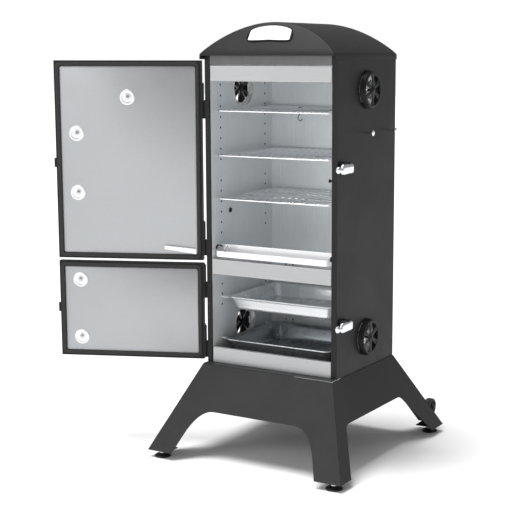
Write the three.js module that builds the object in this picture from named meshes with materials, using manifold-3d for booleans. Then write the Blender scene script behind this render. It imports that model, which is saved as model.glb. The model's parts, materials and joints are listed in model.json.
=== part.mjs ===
// Vertical cabinet smoker with two compartments, two doors and a splayed base.
// Millimetres, +Z up, -Y is the front. Drawn about the cabinet's plan centre on the floor,
// then moved so that the whole object's plan centre is the origin.
import * as THREE from 'three';
import { mergeVertices } from 'three/addons/utils/BufferGeometryUtils.js';
import Module from 'manifold-3d';

const wasm = await Module();
wasm.setup();

// ---- driving dimensions -------------------------------------------------
const GAP = 0.3;
const SHEET = 2;

const CABINET = { halfWidth: 225, front: -184, rear: 184, top: 1206 };
const COLUMN_INNER = 206.5;
const LINER = { halfWidth: 206, front: -181.6, rear: 165, top: 1176 };
const CEILING_THICKNESS = 2;
const DECK = { top: 275, front: -209, thickness: 2.5 };
const FLOOR_LEVEL = DECK.top + GAP;

const ROOF = { halfWidth: 228, front: -210, rear: 187, lip: 1192, spring: 1208, peak: 1299, lean: 0.6 };
const ARCH_STEPS = 14;

const LEG = { bottom: 22, halfWidth: 333, front: -355, rear: 343 };
const SKIRT_THICKNESS = 3;
const LEG_FACE = 87;
const ARCH_TOP = 148;
const SIDE_CUT_TOP = 155;

const FOOT = { x: 297, front: -327, rear: 317, radius: 25, stem: 5 };
const WHEEL = { radius: 28, width: 22, outer: 292, y: 351, z: 71, axle: 5 };

const DAMPER = {
  heights: [1104, 367], hole: 57, capRadius: 56, capEdge: 50, capFace: 243, starRadius: 45, blades: 6, sides: 20,
};
const PEG = { height: 980, y: [-20, 130], reach: 255, rod: 2.2, head: 8.3 };
const LATCH = {
  heights: [886, 430], x: 245, pivotY: -150, front: -192, back: -132, tip: -219, tall: 14.5, thick: 6.5,
};

const HOLE = { radius: 2.4, top: 1116.3, pitch: 31.94, rows: 15, columns: [-130.5, 123.5] };
const LOWER_HOLE_HEIGHTS = [510, 479, 447];
const REAR_HOLES = { x: [-154, -128], heights: [532.8, 352] };
const DAMPER_ROW = 8;
const PORT = { y: -82, z: 733.6, radius: 8 };

const RACK = { halfWidth: 193, front: -170, rear: 160, heights: [1047, 914, 784] };
const RACK_WIRES = 15;
const RACK_THICKNESS = 4;
const HOOK = { x: 0, y: -8, drop: 38, loop: 4.8, wire: 1.2 };

const UPPER_PAN = { rim: 475, bottom: 432, halfRim: 190, halfFloor: 165, front: -142, rear: 154 };
const LOWER_PAN = { rim: 346, bottom: 296, halfRim: 188, halfFloor: 158, front: -160, rear: 150 };
const PAN_WALL = 1.5;
const PAN_FLANGE = 9;
const PAN_CORNER = 26;

const TROUGH = {
  bottom: 603, frontTop: 620, rearTop: 638, front: -183.4, rear: -148, frontHalf: 187, bend: -163,
};
const REST_PIN = { radius: 3, reach: 183 };

const DOOR = { halfWidth: 226, back: -190, front: -212, openDegrees: 157.2 };
const UPPER_DOOR = { bottom: 588.2, top: 1188.7 };
const LOWER_DOOR = { bottom: 281.2, top: 578.6 };
const GASKET = { outer: 5.3, inner: 16.8, thickness: 2.8 };
const PIVOT = { x: -231, y: -187.5, knuckle: 4.5, pin: 2.1, bore: 2.5 };
const HANDLE = { x: 160, spacing: 180, stand: 42, grip: 10 };
const THERMOMETER = { x: 0, z: 1079, radius: 38 };
const GUTTER = { from: -206.5, to: -108, bottom: 607, height: 16, rise: 14, thin: 11, depth: 4.6 };

// Each hinge is a cabinet leaf with a door leaf above it.
const HINGES = [
  { name: 'upper_top', bottom: 1017, split: 1072.7, top: 1122.5, door: 'upper' },
  { name: 'upper_bottom', bottom: 604, split: 653.7, top: 707.7, door: 'upper' },
  { name: 'lower_top', bottom: 473, split: 524, top: 576, door: 'lower' },
  { name: 'lower_bottom', bottom: 288, split: 341, top: 388, door: 'lower' },
];

// ---- materials ----------------------------------------------------------
const paint = (colour, roughness = 0.55, metalness = 0.3) => ({ colour, roughness, metalness });
const FINISH = {
  blackPaint: paint(0x3c3d3f),
  roofPaint: paint(0x444547),
  basePaint: paint(0x4a4b4d),
  liner: paint(0x9aa0a4, 0.38, 0.85),
  brightBar: paint(0xd2d3d4, 0.3, 0.9),
  doorPanel: paint(0xb4b6b8, 0.36, 0.85),
  gasket: paint(0x2b2b2b, 0.95, 0),
  chrome: paint(0xd9dadc, 0.15, 1),
  darkSteel: paint(0x55595c, 0.4, 0.8),
  rubber: paint(0x161616, 0.8, 0),
  badge: paint(0xdadcde, 0.3, 0.8),
  dial: paint(0xe9e9e6, 0.5, 0.1),
};

// ---- solids and booleans ------------------------------------------------
function toSolid(geometry) {
  const bare = geometry.index ? geometry.toNonIndexed() : geometry.clone();
  bare.deleteAttribute('normal');
  bare.deleteAttribute('uv');
  const merged = mergeVertices(bare, 1e-4);
  const vertProperties = new Float32Array(merged.attributes.position.array);
  const triVerts = new Uint32Array(merged.index.array);
  return new wasm.Manifold(new wasm.Mesh({ numProp: 3, vertProperties, triVerts }));
}

function toGeometry(solid) {
  const mesh = solid.getMesh();
  const geometry = new THREE.BufferGeometry();
  geometry.setAttribute('position', new THREE.BufferAttribute(mesh.vertProperties, 3));
  geometry.setIndex(new THREE.BufferAttribute(mesh.triVerts, 1));
  geometry.computeVertexNormals();
  return geometry;
}

const union = (...solids) => solids.reduce((whole, solid) => whole.add(solid));
const cut = (body, ...tools) => tools.reduce((left, tool) => left.subtract(tool), body);

// Box between two corners.
function box(low, high) {
  const size = high.map((value, axis) => value - low[axis]);
  const geometry = new THREE.BoxGeometry(...size);
  geometry.translate(...low.map((value, axis) => value + size[axis] / 2));
  return toSolid(geometry);
}

// Solid of revolution: profile points are [radius, distance along the axis].
function turned(profile, axis, place, sides = 32) {
  const geometry = new THREE.LatheGeometry(profile.map((point) => new THREE.Vector2(...point)), sides);
  if (axis === 'x') geometry.rotateZ(-Math.PI / 2);
  if (axis === 'z') geometry.rotateX(Math.PI / 2);
  geometry.translate(...place);
  return toSolid(geometry);
}

const rod = (radius, from, to, axis, place, sides) =>
  turned([[0, from], [radius, from], [radius, to], [0, to]], axis, place, sides);

const tube = (inner, outer, from, to, axis, place, sides) =>
  turned([[inner, from], [outer, from], [outer, to], [inner, to], [inner, from]], axis, place, sides);

// Closed skin through rings of matching points, listed counter-clockwise from above, bottom first.
function loft(rings) {
  const count = rings[0].length;
  const positions = rings.flat(2);
  const index = [];
  for (let level = 0; level + 1 < rings.length; level += 1) {
    for (let i = 0; i < count; i += 1) {
      const a = level * count + i;
      const b = level * count + ((i + 1) % count);
      index.push(a, b, b + count, a, b + count, a + count);
    }
  }
  const last = (rings.length - 1) * count;
  for (let i = 1; i + 1 < count; i += 1) {
    index.push(0, i + 1, i);
    index.push(last, last + i, last + i + 1);
  }
  const geometry = new THREE.BufferGeometry();
  geometry.setAttribute('position', new THREE.Float32BufferAttribute(positions, 3));
  geometry.setIndex(index);
  return toSolid(geometry);
}

function rectangleRing(left, right, front, rear, z) {
  return [[left, front, z], [right, front, z], [right, rear, z], [left, rear, z]];
}

function roundedRing(halfX, front, rear, corner, z, steps = 4) {
  const centres = [
    [halfX - corner, rear - corner, 0],
    [-halfX + corner, rear - corner, 1],
    [-halfX + corner, front + corner, 2],
    [halfX - corner, front + corner, 3],
  ];
  const ring = [];
  for (const [x, y, quarter] of centres) {
    for (let i = 0; i <= steps; i += 1) {
      const angle = (quarter + i / steps) * Math.PI / 2;
      ring.push([x + corner * Math.cos(angle), y + corner * Math.sin(angle), z]);
    }
  }
  return ring;
}

// Outline in two of the object's axes, extruded along the third between two positions.
function prism(outline, axis, from, to, holes = []) {
  const shape = new THREE.Shape(outline.map((point) => new THREE.Vector2(...point)));
  for (const hole of holes) {
    shape.holes.push(new THREE.Path(hole.map((point) => new THREE.Vector2(...point))));
  }
  const geometry = new THREE.ExtrudeGeometry(shape, { depth: to - from, bevelEnabled: false });
  geometry.translate(0, 0, from);
  const turn = new THREE.Matrix4();
  // axis x: outline is (y, z); axis y: outline is (x, z), kept right-handed by reversing the depth.
  if (axis === 'x') turn.set(0, 0, 1, 0, 1, 0, 0, 0, 0, 1, 0, 0, 0, 0, 0, 1);
  if (axis === 'y') {
    geometry.translate(0, 0, -from - to);
    turn.set(1, 0, 0, 0, 0, 0, -1, 0, 0, 1, 0, 0, 0, 0, 0, 1);
  }
  geometry.applyMatrix4(turn);
  return toSolid(geometry);
}

// ---- cabinet body -------------------------------------------------------
const smoker = new THREE.Group();
const object = new THREE.Group();
smoker.add(object);

function addMesh(name, solid, finish, parent = object) {
  const material = new THREE.MeshStandardMaterial({
    color: finish.colour,
    roughness: finish.roughness,
    metalness: finish.metalness,
  });
  const mesh = new THREE.Mesh(toGeometry(solid), material);
  mesh.name = name;
  parent.add(mesh);
  return mesh;
}

function damperHoles() {
  const reach = CABINET.halfWidth + 5;
  return DAMPER.heights.map((z) => rod(DAMPER.hole, -reach, reach, 'x', [0, 0, z], DAMPER.sides));
}

const portHole = () => rod(
  PORT.radius - 1.5, -CABINET.halfWidth - 5, -COLUMN_INNER + 5, 'x', [0, PORT.y, PORT.z], 16,
);

function outerShell() {
  const { halfWidth: w, front, rear, top } = CABINET;
  const plan = [
    [-w, front], [-COLUMN_INNER, front], [-COLUMN_INNER, front + SHEET], [-w + SHEET, front + SHEET],
    [-w + SHEET, rear - SHEET], [w - SHEET, rear - SHEET], [w - SHEET, front + SHEET],
    [COLUMN_INNER, front + SHEET], [COLUMN_INNER, front], [w, front], [w, rear], [-w, rear],
  ];
  const wrap = prism(plan, 'z', FLOOR_LEVEL, top);
  const header = box([-COLUMN_INNER - 1, front, LINER.top], [COLUMN_INNER + 1, front + SHEET, top]);
  return cut(union(wrap, header), ...damperHoles(), portHole());
}

function rackHoles() {
  const reach = LINER.halfWidth + 5;
  const heights = [...LOWER_HOLE_HEIGHTS];
  for (let row = 0; row < HOLE.rows; row += 1) {
    if (row !== DAMPER_ROW) heights.push(HOLE.top - row * HOLE.pitch);
  }
  const pegs = [];
  for (const z of heights) {
    for (const y of HOLE.columns) pegs.push(rod(HOLE.radius, -reach, reach, 'x', [0, y, z], 6));
  }
  for (const z of REAR_HOLES.heights) {
    for (const x of REAR_HOLES.x) pegs.push(rod(HOLE.radius * 1.4, 160, 175, 'y', [x, 0, z], 8));
  }
  return pegs;
}

// Pins that carry the pans, in line with the rack holes, and two ledges for the trough.
function rests() {
  const w = LINER.halfWidth;
  const parts = [];
  for (const side of [-1, 1]) {
    for (const rim of [UPPER_PAN.rim, LOWER_PAN.rim]) {
      const z = rim - PAN_WALL - GAP - REST_PIN.radius;
      for (const y of HOLE.columns) {
        const [near, far] = [REST_PIN.reach * side, (w + 0.5) * side].sort((p, q) => p - q);
        parts.push(rod(REST_PIN.radius, near, far, 'x', [0, y, z], 12));
      }
    }
    const [near, far] = [196 * side, (w + 0.5) * side].sort((p, q) => p - q);
    parts.push(box([near, -160, TROUGH.bottom - GAP - SHEET], [far, -140, TROUGH.bottom - GAP]));
  }
  return parts;
}

function innerLiner() {
  const { halfWidth: w, front, rear, top } = LINER;
  const plan = [
    [-w - SHEET, front], [-w, front], [-w, rear], [w, rear], [w, front], [w + SHEET, front],
    [w + SHEET, rear + SHEET], [-w - SHEET, rear + SHEET],
  ];
  const wrap = prism(plan, 'z', FLOOR_LEVEL, top + CEILING_THICKNESS);
  const ceiling = box([-w - 1, front, top], [w + 1, rear + 1, top + CEILING_THICKNESS]);
  return cut(union(wrap, ceiling, ...rests()), ...damperHoles(), portHole(), ...rackHoles());
}

// Half-width of the roof at an angle from its crown, and the matching height.
function roofRings(inset) {
  const w = ROOF.halfWidth - inset;
  const rise = ROOF.peak - inset - ROOF.spring;
  const radius = (w * w + rise * rise) / (2 * rise);
  const spread = Math.asin(w / radius);
  const front = (z) => ROOF.front + inset + ROOF.lean * Math.max(0, z - ROOF.spring);
  const rear = (z) => ROOF.rear - inset - ROOF.lean * Math.max(0, z - ROOF.spring);
  const rings = [rectangleRing(-w, w, front(0), rear(0), ROOF.lip - (inset > 0 ? 5 : 0))];
  for (let step = 0; step < ARCH_STEPS; step += 1) {
    const angle = spread * (1 - step / ARCH_STEPS);
    const half = radius * Math.sin(angle);
    const z = ROOF.spring + rise - radius * (1 - Math.cos(angle));
    rings.push(rectangleRing(-half, half, front(z), rear(z), z));
  }
  return rings;
}

const roofCap = () => cut(loft(roofRings(0)), loft(roofRings(SHEET)));

function badgePlate(parent) {
  const slope = Math.hypot(1, ROOF.lean);
  const at = (z) => (z - ROOF.spring) * slope;
  const shape = new THREE.Shape();
  shape.moveTo(-70, at(1246));
  shape.lineTo(70, at(1246));
  shape.lineTo(68, at(1275));
  shape.quadraticCurveTo(0, at(1304), -68, at(1275));
  const geometry = new THREE.ExtrudeGeometry(shape, { depth: 2, bevelEnabled: false, curveSegments: 12 });
  const plate = addMesh('badge_plate', toSolid(geometry), FINISH.badge, parent);
  plate.rotation.x = Math.PI / 2 - Math.atan(ROOF.lean);
  plate.position.set(0, ROOF.front - GAP, ROOF.spring);
}

// Bright bar across the opening: a channel with its web to the front.
function crossbar(bottom, top) {
  const half = LINER.halfWidth - 0.4;
  const front = CABINET.front;
  const back = front + 14;
  const section = [
    [front, bottom], [back, bottom], [back, bottom + SHEET], [front + SHEET, bottom + SHEET],
    [front + SHEET, top - SHEET], [back, top - SHEET], [back, top], [front, top],
  ];
  return prism(section, 'x', -half, half);
}

function cabinetBody() {
  addMesh('outer_shell', outerShell(), FINISH.blackPaint);
  addMesh('inner_liner', innerLiner(), FINISH.liner);
  addMesh('roof_cap', roofCap(), FINISH.roofPaint);
  badgePlate(object);
  addMesh('crossbar_top', crossbar(1128, 1174), FINISH.brightBar);
  addMesh('crossbar_middle', crossbar(549, 595), FINISH.brightBar);
  addMesh('crossbar_bottom', crossbar(FLOOR_LEVEL, 322), FINISH.brightBar);
}

// ---- splayed base -------------------------------------------------------
const SKIRT_TOP = DECK.top - DECK.thickness - GAP;

function skirtRing(z, inset) {
  const t = (DECK.top - z) / (DECK.top - LEG.bottom);
  const half = CABINET.halfWidth + (LEG.halfWidth - CABINET.halfWidth) * t - inset;
  const front = DECK.front + (LEG.front - DECK.front) * t + inset;
  const rear = CABINET.rear + (LEG.rear - CABINET.rear) * t - inset;
  return { half, front, rear };
}

function frustum(inset, bottom, top) {
  const ring = (z) => {
    const { half, front, rear } = skirtRing(z, inset);
    return rectangleRing(-half, half, front, rear, z);
  };
  return loft([ring(bottom), ring(top)]);
}

// Space between the two mitre planes through the corners of one side of the skirt.
function mitre(side, slack) {
  const ring = (z) => {
    const { half, front, rear } = skirtRing(z, 0);
    const outX = half + 50;
    const inX = half - 40;
    if (side === 'front') {
      return [[-outX, front - 50, z], [outX, front - 50, z], [inX, front + 40, z], [-inX, front + 40, z]];
    }
    if (side === 'rear') {
      return [[-inX, rear - 40, z], [inX, rear - 40, z], [outX, rear + 50, z], [-outX, rear + 50, z]];
    }
    const corners = [
      [inX, front + 40 + slack, z], [outX, front - 50 + slack, z],
      [outX, rear + 50 - slack, z], [inX, rear - 40 - slack, z],
    ];
    return side === 'right' ? corners : corners.map(([x, y]) => [-x, y, z]).reverse();
  };
  return loft([ring(LEG.bottom - 5), ring(DECK.top + 5)]);
}

// Cut-out under the front or rear skirt: a flat top with large round shoulders.
function archOutline() {
  const foot = LEG.halfWidth - LEG_FACE;
  const shape = new THREE.Shape();
  shape.moveTo(-foot - 3, LEG.bottom - 7);
  shape.lineTo(foot + 3, LEG.bottom - 7);
  shape.lineTo(foot - 20, 70);
  shape.quadraticCurveTo(foot - 53, ARCH_TOP, 140, ARCH_TOP);
  shape.lineTo(-140, ARCH_TOP);
  shape.quadraticCurveTo(-foot + 53, ARCH_TOP, -foot + 20, 70);
  return shape.getPoints(8).map((point) => [point.x, point.y]);
}

// Cut-out under a side skirt: a trapezium with small round shoulders.
function sideCutOutline() {
  const shape = new THREE.Shape();
  shape.moveTo(-295, LEG.bottom - 7);
  shape.lineTo(266, LEG.bottom - 7);
  shape.lineTo(149, SIDE_CUT_TOP - 14);
  shape.quadraticCurveTo(137, SIDE_CUT_TOP, 120, SIDE_CUT_TOP);
  shape.lineTo(-200, SIDE_CUT_TOP);
  shape.quadraticCurveTo(-217, SIDE_CUT_TOP, -225, SIDE_CUT_TOP - 14);
  return shape.getPoints(5).map((point) => [point.x, point.y]);
}

// Pad inside a leg that takes the levelling foot's stem.
function footPad(signX, y) {
  const inner = frustum(SKIRT_THICKNESS - 0.4, LEG.bottom, LEG.bottom + SKIRT_THICKNESS);
  const clear = skirtRing(LEG.bottom + SKIRT_THICKNESS, SKIRT_THICKNESS + GAP).half;
  const low = Math.min(signX * 262, signX * clear);
  const high = Math.max(signX * 262, signX * clear);
  const y2 = y < 0 ? -298 : 400;
  const y1 = y < 0 ? -400 : 286;
  const area = box([low, y1, LEG.bottom], [high, y2, LEG.bottom + SKIRT_THICKNESS]);
  return cut(inner.intersect(area), rod(FOOT.stem + 0.5, 0, 60, 'z', [signX * FOOT.x, y, 0], 20));
}

function skirtPanel(side) {
  const wall = cut(frustum(0, LEG.bottom, SKIRT_TOP), frustum(SKIRT_THICKNESS, LEG.bottom - 2, SKIRT_TOP + 2));
  const panel = wall.intersect(mitre(side, GAP));
  if (side === 'left' || side === 'right') return cut(panel, prism(sideCutOutline(), 'x', -400, 400));
  const arched = cut(panel, prism(archOutline(), 'y', -400, 400));
  const y = side === 'front' ? FOOT.front : FOOT.rear;
  return union(arched, footPad(-1, y), footPad(1, y));
}

function levellingFoot() {
  const profile = [
    [0, 0], [FOOT.radius - 2, 0], [FOOT.radius, 3], [FOOT.radius - 3, 7], [10, 11], [10, 17],
    [FOOT.stem, 17], [FOOT.stem, 44], [0, 44],
  ];
  return turned(profile, 'z', [0, 0, 0], 20);
}

function wheel() {
  const r = WHEEL.radius;
  const half = WHEEL.width / 2;
  const profile = [
    [WHEEL.axle + GAP, -half], [12, -half], [14, -half + 3], [r - 8, -half + 3], [r - 6, -half], [r - 2, -half],
    [r, -half + 3], [r, half - 3], [r - 2, half], [WHEEL.axle + GAP, half], [WHEEL.axle + GAP, -half],
  ];
  return turned(profile, 'x', [0, 0, 0], 22);
}

// Plate on the rear of a leg, with the axle bolt that carries the wheel. Drawn for the right side.
function wheelBracket(sign) {
  const inner = WHEEL.outer - WHEEL.width - 1;
  const plateLeft = inner - 4;
  const rearAt = (z) => skirtRing(z, 0).rear + GAP;
  const outline = [
    [rearAt(50), 50], [WHEEL.y + 6, WHEEL.z - 11], [WHEEL.y + 11, WHEEL.z], [WHEEL.y + 6, WHEEL.z + 10],
    [rearAt(135), 135],
  ];
  const plate = prism(outline, 'x', plateLeft, inner);
  const shaft = rod(WHEEL.axle, plateLeft, WHEEL.outer + 1, 'x', [0, WHEEL.y, WHEEL.z], 20);
  const head = rod(8, WHEEL.outer + 1, WHEEL.outer + 6, 'x', [0, WHEEL.y, WHEEL.z], 6);
  const flange = loft([50, 135].map((z) => {
    const back = rearAt(z);
    return rectangleRing(plateLeft - 24, inner, back, back + 4, z);
  }));
  const right = union(plate, shaft, head, flange);
  return sign > 0 ? right : right.mirror([1, 0, 0]);
}

function base() {
  const deck = box(
    [-CABINET.halfWidth, DECK.front, DECK.top - DECK.thickness],
    [CABINET.halfWidth, CABINET.rear, DECK.top],
  );
  addMesh('base_deck', deck, FINISH.basePaint);
  for (const side of ['front', 'rear', 'left', 'right']) {
    addMesh(`base_${side}`, skirtPanel(side), FINISH.basePaint);
  }
  for (const [side, sign] of [['left', -1], ['right', 1]]) {
    for (const [end, y] of [['front', FOOT.front], ['rear', FOOT.rear]]) {
      const foot = addMesh(`foot_${end}_${side}`, levellingFoot(), FINISH.rubber);
      foot.position.set(sign * FOOT.x, y, 0);
    }
    addMesh(`wheel_bracket_${side}`, wheelBracket(sign), FINISH.darkSteel);
    const roller = addMesh(`wheel_${side}`, wheel(), FINISH.rubber);
    roller.position.set(sign * (WHEEL.outer - WHEEL.width / 2), WHEEL.y, WHEEL.z);
  }
}

// ---- air dampers --------------------------------------------------------
// Wedge-shaped air openings around a disc, between two radii.
function wedge(index, inner, outer, fill) {
  const pitch = (2 * Math.PI) / DAMPER.blades;
  const middle = index * pitch;
  const points = [];
  for (let i = 0; i <= 2; i += 1) {
    const angle = middle + pitch * fill * (i / 2 - 0.5);
    points.push([outer * Math.cos(angle), outer * Math.sin(angle)]);
  }
  for (const half of [0.5, -0.5]) {
    const angle = middle + pitch * fill * half;
    points.push([inner * Math.cos(angle), inner * Math.sin(angle)]);
  }
  return points;
}

const circle = (radius, sides) => Array.from({ length: sides }, (_, i) => {
  const angle = (2 * Math.PI * i) / sides;
  return [radius * Math.cos(angle), radius * Math.sin(angle)];
});

function ventedDisc(radius, inner, outer, fill, from, to) {
  const holes = Array.from({ length: DAMPER.blades }, (_, i) => wedge(i, inner, outer, fill));
  return prism(circle(radius, DAMPER.sides), 'x', from, to, holes);
}

// Drawn around the X axis with outside at +X; the left-hand pair is turned half way round.
function damperDuct() {
  const { hole, sides } = DAMPER;
  const inside = LINER.halfWidth - 1.5;
  const outside = CABINET.halfWidth + 0.8;
  const wall = tube(hole - 2, hole - GAP, inside, outside, 'x', [0, 0, 0], sides);
  const plate = ventedDisc(hole - 1, 16, 48, 0.5, 221, 222.5);
  return cut(union(wall, plate), rod(4.5, 200, 240, 'x', [0, 0, 0], 12));
}

function damperRotor() {
  const face = DAMPER.capFace;
  const { capRadius: base, capEdge: edge, sides } = DAMPER;
  const profile = [
    [base - 2, 227], [base, 227], [base, 231], [edge + 2, face - 2], [edge, face], [edge - 3, face],
    [edge - 3, face - 2], [base - 2, 231], [base - 2, 227],
  ];
  const rim = turned(profile, 'x', [0, 0, 0], sides);
  const cap = ventedDisc(edge - 0.5, 14, 45, 0.62, face - 2, face);
  const axle = rod(4, 214, face + 3, 'x', [0, 0, 0], 12);
  const hub = rod(9, face - 2, face + 2, 'x', [0, 0, 0], 12);
  const star = prism(starOutline(), 'x', 216, 217.5);
  return union(rim, cap, hub, axle, star);
}

// Six petals joined at the hub.
function starOutline() {
  const points = [];
  const pitch = (2 * Math.PI) / DAMPER.blades;
  for (let i = 0; i < DAMPER.blades; i += 1) {
    const spokes = [[-0.26, 12], [-0.25, DAMPER.starRadius], [0.25, DAMPER.starRadius], [0.26, 12]];
    for (const [turn, radius] of spokes) {
      const angle = pitch * (i + 0.5 + turn);
      points.push([radius * Math.cos(angle), radius * Math.sin(angle)]);
    }
  }
  return points;
}

function dampers() {
  for (const [side, sign] of [['left', -1], ['right', 1]]) {
    for (const [level, z] of [['upper', DAMPER.heights[0]], ['lower', DAMPER.heights[1]]]) {
      const group = new THREE.Group();
      group.position.z = z;
      if (sign < 0) group.rotation.z = Math.PI;
      object.add(group);
      addMesh(`damper_duct_${level}_${side}`, damperDuct(), FINISH.brightBar, group);
      addMesh(`damper_rotor_${level}_${side}`, damperRotor(), FINISH.blackPaint, group);
    }
  }
}

// ---- fittings on the right wall and the port in the left wall -----------
function toolPegs() {
  const wall = CABINET.halfWidth + GAP;
  const profile = [
    [0, wall], [PEG.rod + 1.2, wall], [PEG.rod, wall + 2], [PEG.rod, PEG.reach - 3],
    [PEG.head, PEG.reach - 3], [PEG.head, PEG.reach], [0, PEG.reach],
  ];
  for (const [end, y] of [['front', PEG.y[0]], ['rear', PEG.y[1]]]) {
    addMesh(`tool_peg_${end}`, turned(profile, 'x', [0, y, PEG.height], 20), FINISH.chrome);
  }
}

function latchBracket() {
  const wall = CABINET.halfWidth + GAP;
  const half = LATCH.tall + 1;
  const y = LATCH.pivotY;
  const plate = box([wall, y - 20, -half - 2], [wall + 2.5, y + 14, half + 2]);
  const ear = (low, high) => prism(
    [
      [wall, y - 9], [LATCH.x + 2, y - 6], [LATCH.x + 6, y - 3],
      [LATCH.x + 6, y + 3], [LATCH.x + 2, y + 6], [wall, y + 9],
    ],
    'z', low, high,
  );
  const pin = rod(3, -half - 3, half + 3, 'z', [LATCH.x, y, 0], 16);
  return union(plate, ear(half, half + 1.5), ear(-half - 1.5, -half), pin);
}

// Flattened lever that turns on the bracket's pin; the disc at its tip catches the door's keeper.
function latchHandle() {
  const { x, tip, front, back, tall, thick } = LATCH;
  const stations = [
    [tip, 5, 7], [tip + 1.5, 7, 10], [tip + 8, 7, 10], [tip + 10, 5, 7], [tip + 12, 3.5, 4], [front, 3.5, 4],
    [front + 0.5, thick - 1, tall - 2], [front + 3, thick, tall],
    [back - 3, thick, tall], [back, thick - 2, tall - 3],
  ];
  const ring = ([y, half, high]) => circle(1, 14).map(([a, b]) => [x + half * b, y, high * a]);
  return cut(loft(stations.map(ring)), rod(3 + GAP, -40, 40, 'z', [x, LATCH.pivotY, 0], 16));
}

function latches() {
  for (const [level, z] of [['upper', LATCH.heights[0]], ['lower', LATCH.heights[1]]]) {
    addMesh(`latch_bracket_${level}`, latchBracket(), FINISH.chrome).position.z = z;
    addMesh(`latch_handle_${level}`, latchHandle(), FINISH.chrome).position.z = z;
  }
}

function probePort() {
  const inside = -LINER.halfWidth + GAP;
  const outside = -CABINET.halfWidth - GAP;
  const r = PORT.radius;
  const profile = [
    [3, outside - 3], [r, outside - 3], [r, outside], [r - 2, outside], [r - 2, inside], [r, inside],
    [r, inside + 2], [3, inside + 2], [3, outside - 3],
  ];
  addMesh('probe_port', turned(profile, 'x', [0, PORT.y, PORT.z], 14), FINISH.rubber);
}

// ---- racks, pans and the drip trough ------------------------------------
function rack() {
  const { halfWidth: w, front, rear } = RACK;
  const border = 6;
  const wire = 3.5;
  const pitch = (2 * w - border) / (RACK_WIRES + 1);
  const plate = box([-w, front, -RACK_THICKNESS], [w, rear, 0]);
  const slots = [];
  for (let i = 0; i <= RACK_WIRES; i += 1) {
    const middle = -w + border / 2 + (i + 0.5) * pitch;
    const half = (pitch - wire) / 2;
    const left = i === 0 ? -w + border : middle - half;
    const right = i === RACK_WIRES ? w - border : middle + half;
    slots.push(box([left, front + border, -RACK_THICKNESS - 1], [right, rear - border, 1]));
  }
  return cut(plate, ...slots);
}

// Support that hangs on the wall holes, open at the front, under the edge of a rack.
function rackSupport() {
  const outer = LINER.halfWidth - GAP;
  const inner = RACK.halfWidth - 1.5;
  const rear = LINER.rear - GAP;
  const plan = [
    [-outer, RACK.front + 4], [-inner, RACK.front + 4], [-inner, rear - 4], [inner, rear - 4],
    [inner, RACK.front + 4], [outer, RACK.front + 4], [outer, rear], [-outer, rear],
  ];
  return prism(plan, 'z', -2.5, 0);
}

// S-hook: a closed loop end around a rack wire and a tip below, drawn about the wire.
function meatHook() {
  const r = HOOK.loop;
  const points = [
    [-r * 0.9, -r * 0.6], [-r, 1], [-r * 0.6, r * 0.85], [r * 0.5, r * 0.9], [r, 1], [r * 0.9, -6], [0, -14],
    [-6, -24], [-7, -30], [-2, -36], [4, -HOOK.drop + 3], [8, -30],
  ].map(([x, z]) => new THREE.Vector3(x, 0, z));
  const path = new THREE.CatmullRomCurve3(points);
  const section = new THREE.Shape(circle(HOOK.wire, 6).map((point) => new THREE.Vector2(...point)));
  return toSolid(new THREE.ExtrudeGeometry(section, { extrudePath: path, steps: 28, bevelEnabled: false }));
}

function pan(spec) {
  const { rim, bottom, halfRim, halfFloor, front, rear } = spec;
  const drop = halfRim - PAN_FLANGE - halfFloor;
  const ring = (half, step, inset, z) => (
    roundedRing(half - inset, front + step + inset, rear - step - inset, PAN_CORNER - inset, z)
  );
  const levels = (inset, low, high) => loft([
    ring(halfFloor, PAN_FLANGE + drop, inset, low),
    ring(halfRim - PAN_FLANGE, PAN_FLANGE, inset, high),
  ]);
  const flange = loft([rim - PAN_WALL, rim].map((z) => roundedRing(halfRim, front, rear, PAN_CORNER, z)));
  return cut(union(levels(0, bottom, rim), flange), levels(PAN_WALL, bottom + PAN_WALL, rim + 0.05));
}

// Trough across the opening: low wall to the front, high wall behind, ends cut back at the front.
function dripTrough() {
  const { bottom, frontTop, rearTop, front, rear, frontHalf, bend } = TROUGH;
  const half = LINER.halfWidth - 0.6;
  const plan = (inset) => [
    [-frontHalf + inset, front + inset], [frontHalf - inset, front + inset], [half - inset, bend],
    [half - inset, rear - inset], [-half + inset, rear - inset], [-half + inset, bend],
  ];
  const outer = [[front, bottom], [rear, bottom], [rear, rearTop], [rear - 1.5, rearTop], [front, frontTop]];
  const body = prism(outer, 'x', -half, half).intersect(prism(plan(0), 'z', bottom - 1, rearTop + 1));
  return cut(body, prism(plan(1.5), 'z', bottom + 1.5, rearTop + 5));
}

function insideFittings() {
  for (const [i, level] of ['top', 'middle', 'bottom'].entries()) {
    const z = RACK.heights[i];
    addMesh(`rack_${level}`, rack(), FINISH.chrome).position.z = z;
    addMesh(`rack_support_${level}`, rackSupport(), FINISH.chrome).position.z = z - RACK_THICKNESS - GAP;
  }
  const hook = addMesh('meat_hook', meatHook(), FINISH.darkSteel);
  hook.position.set(HOOK.x, HOOK.y, RACK.heights[0] - RACK_THICKNESS / 2);
  addMesh('pan_upper', pan(UPPER_PAN), FINISH.brightBar);
  addMesh('pan_lower', pan(LOWER_PAN), FINISH.darkSteel);
  addMesh('drip_trough', dripTrough(), FINISH.brightBar);
}

// ---- hinges -------------------------------------------------------------
function cabinetLeaf({ bottom, split, top }) {
  const front = CABINET.front - GAP;
  const plate = box([PIVOT.x, front - 2.2, bottom], [-COLUMN_INNER - 1, front, split - GAP]);
  const knuckle = rod(PIVOT.knuckle, bottom, split - GAP, 'z', [PIVOT.x, PIVOT.y, 0], 16);
  const pin = rod(PIVOT.pin, split - 1, top - 12, 'z', [PIVOT.x, PIVOT.y, 0], 12);
  return union(plate, knuckle, pin);
}

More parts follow.
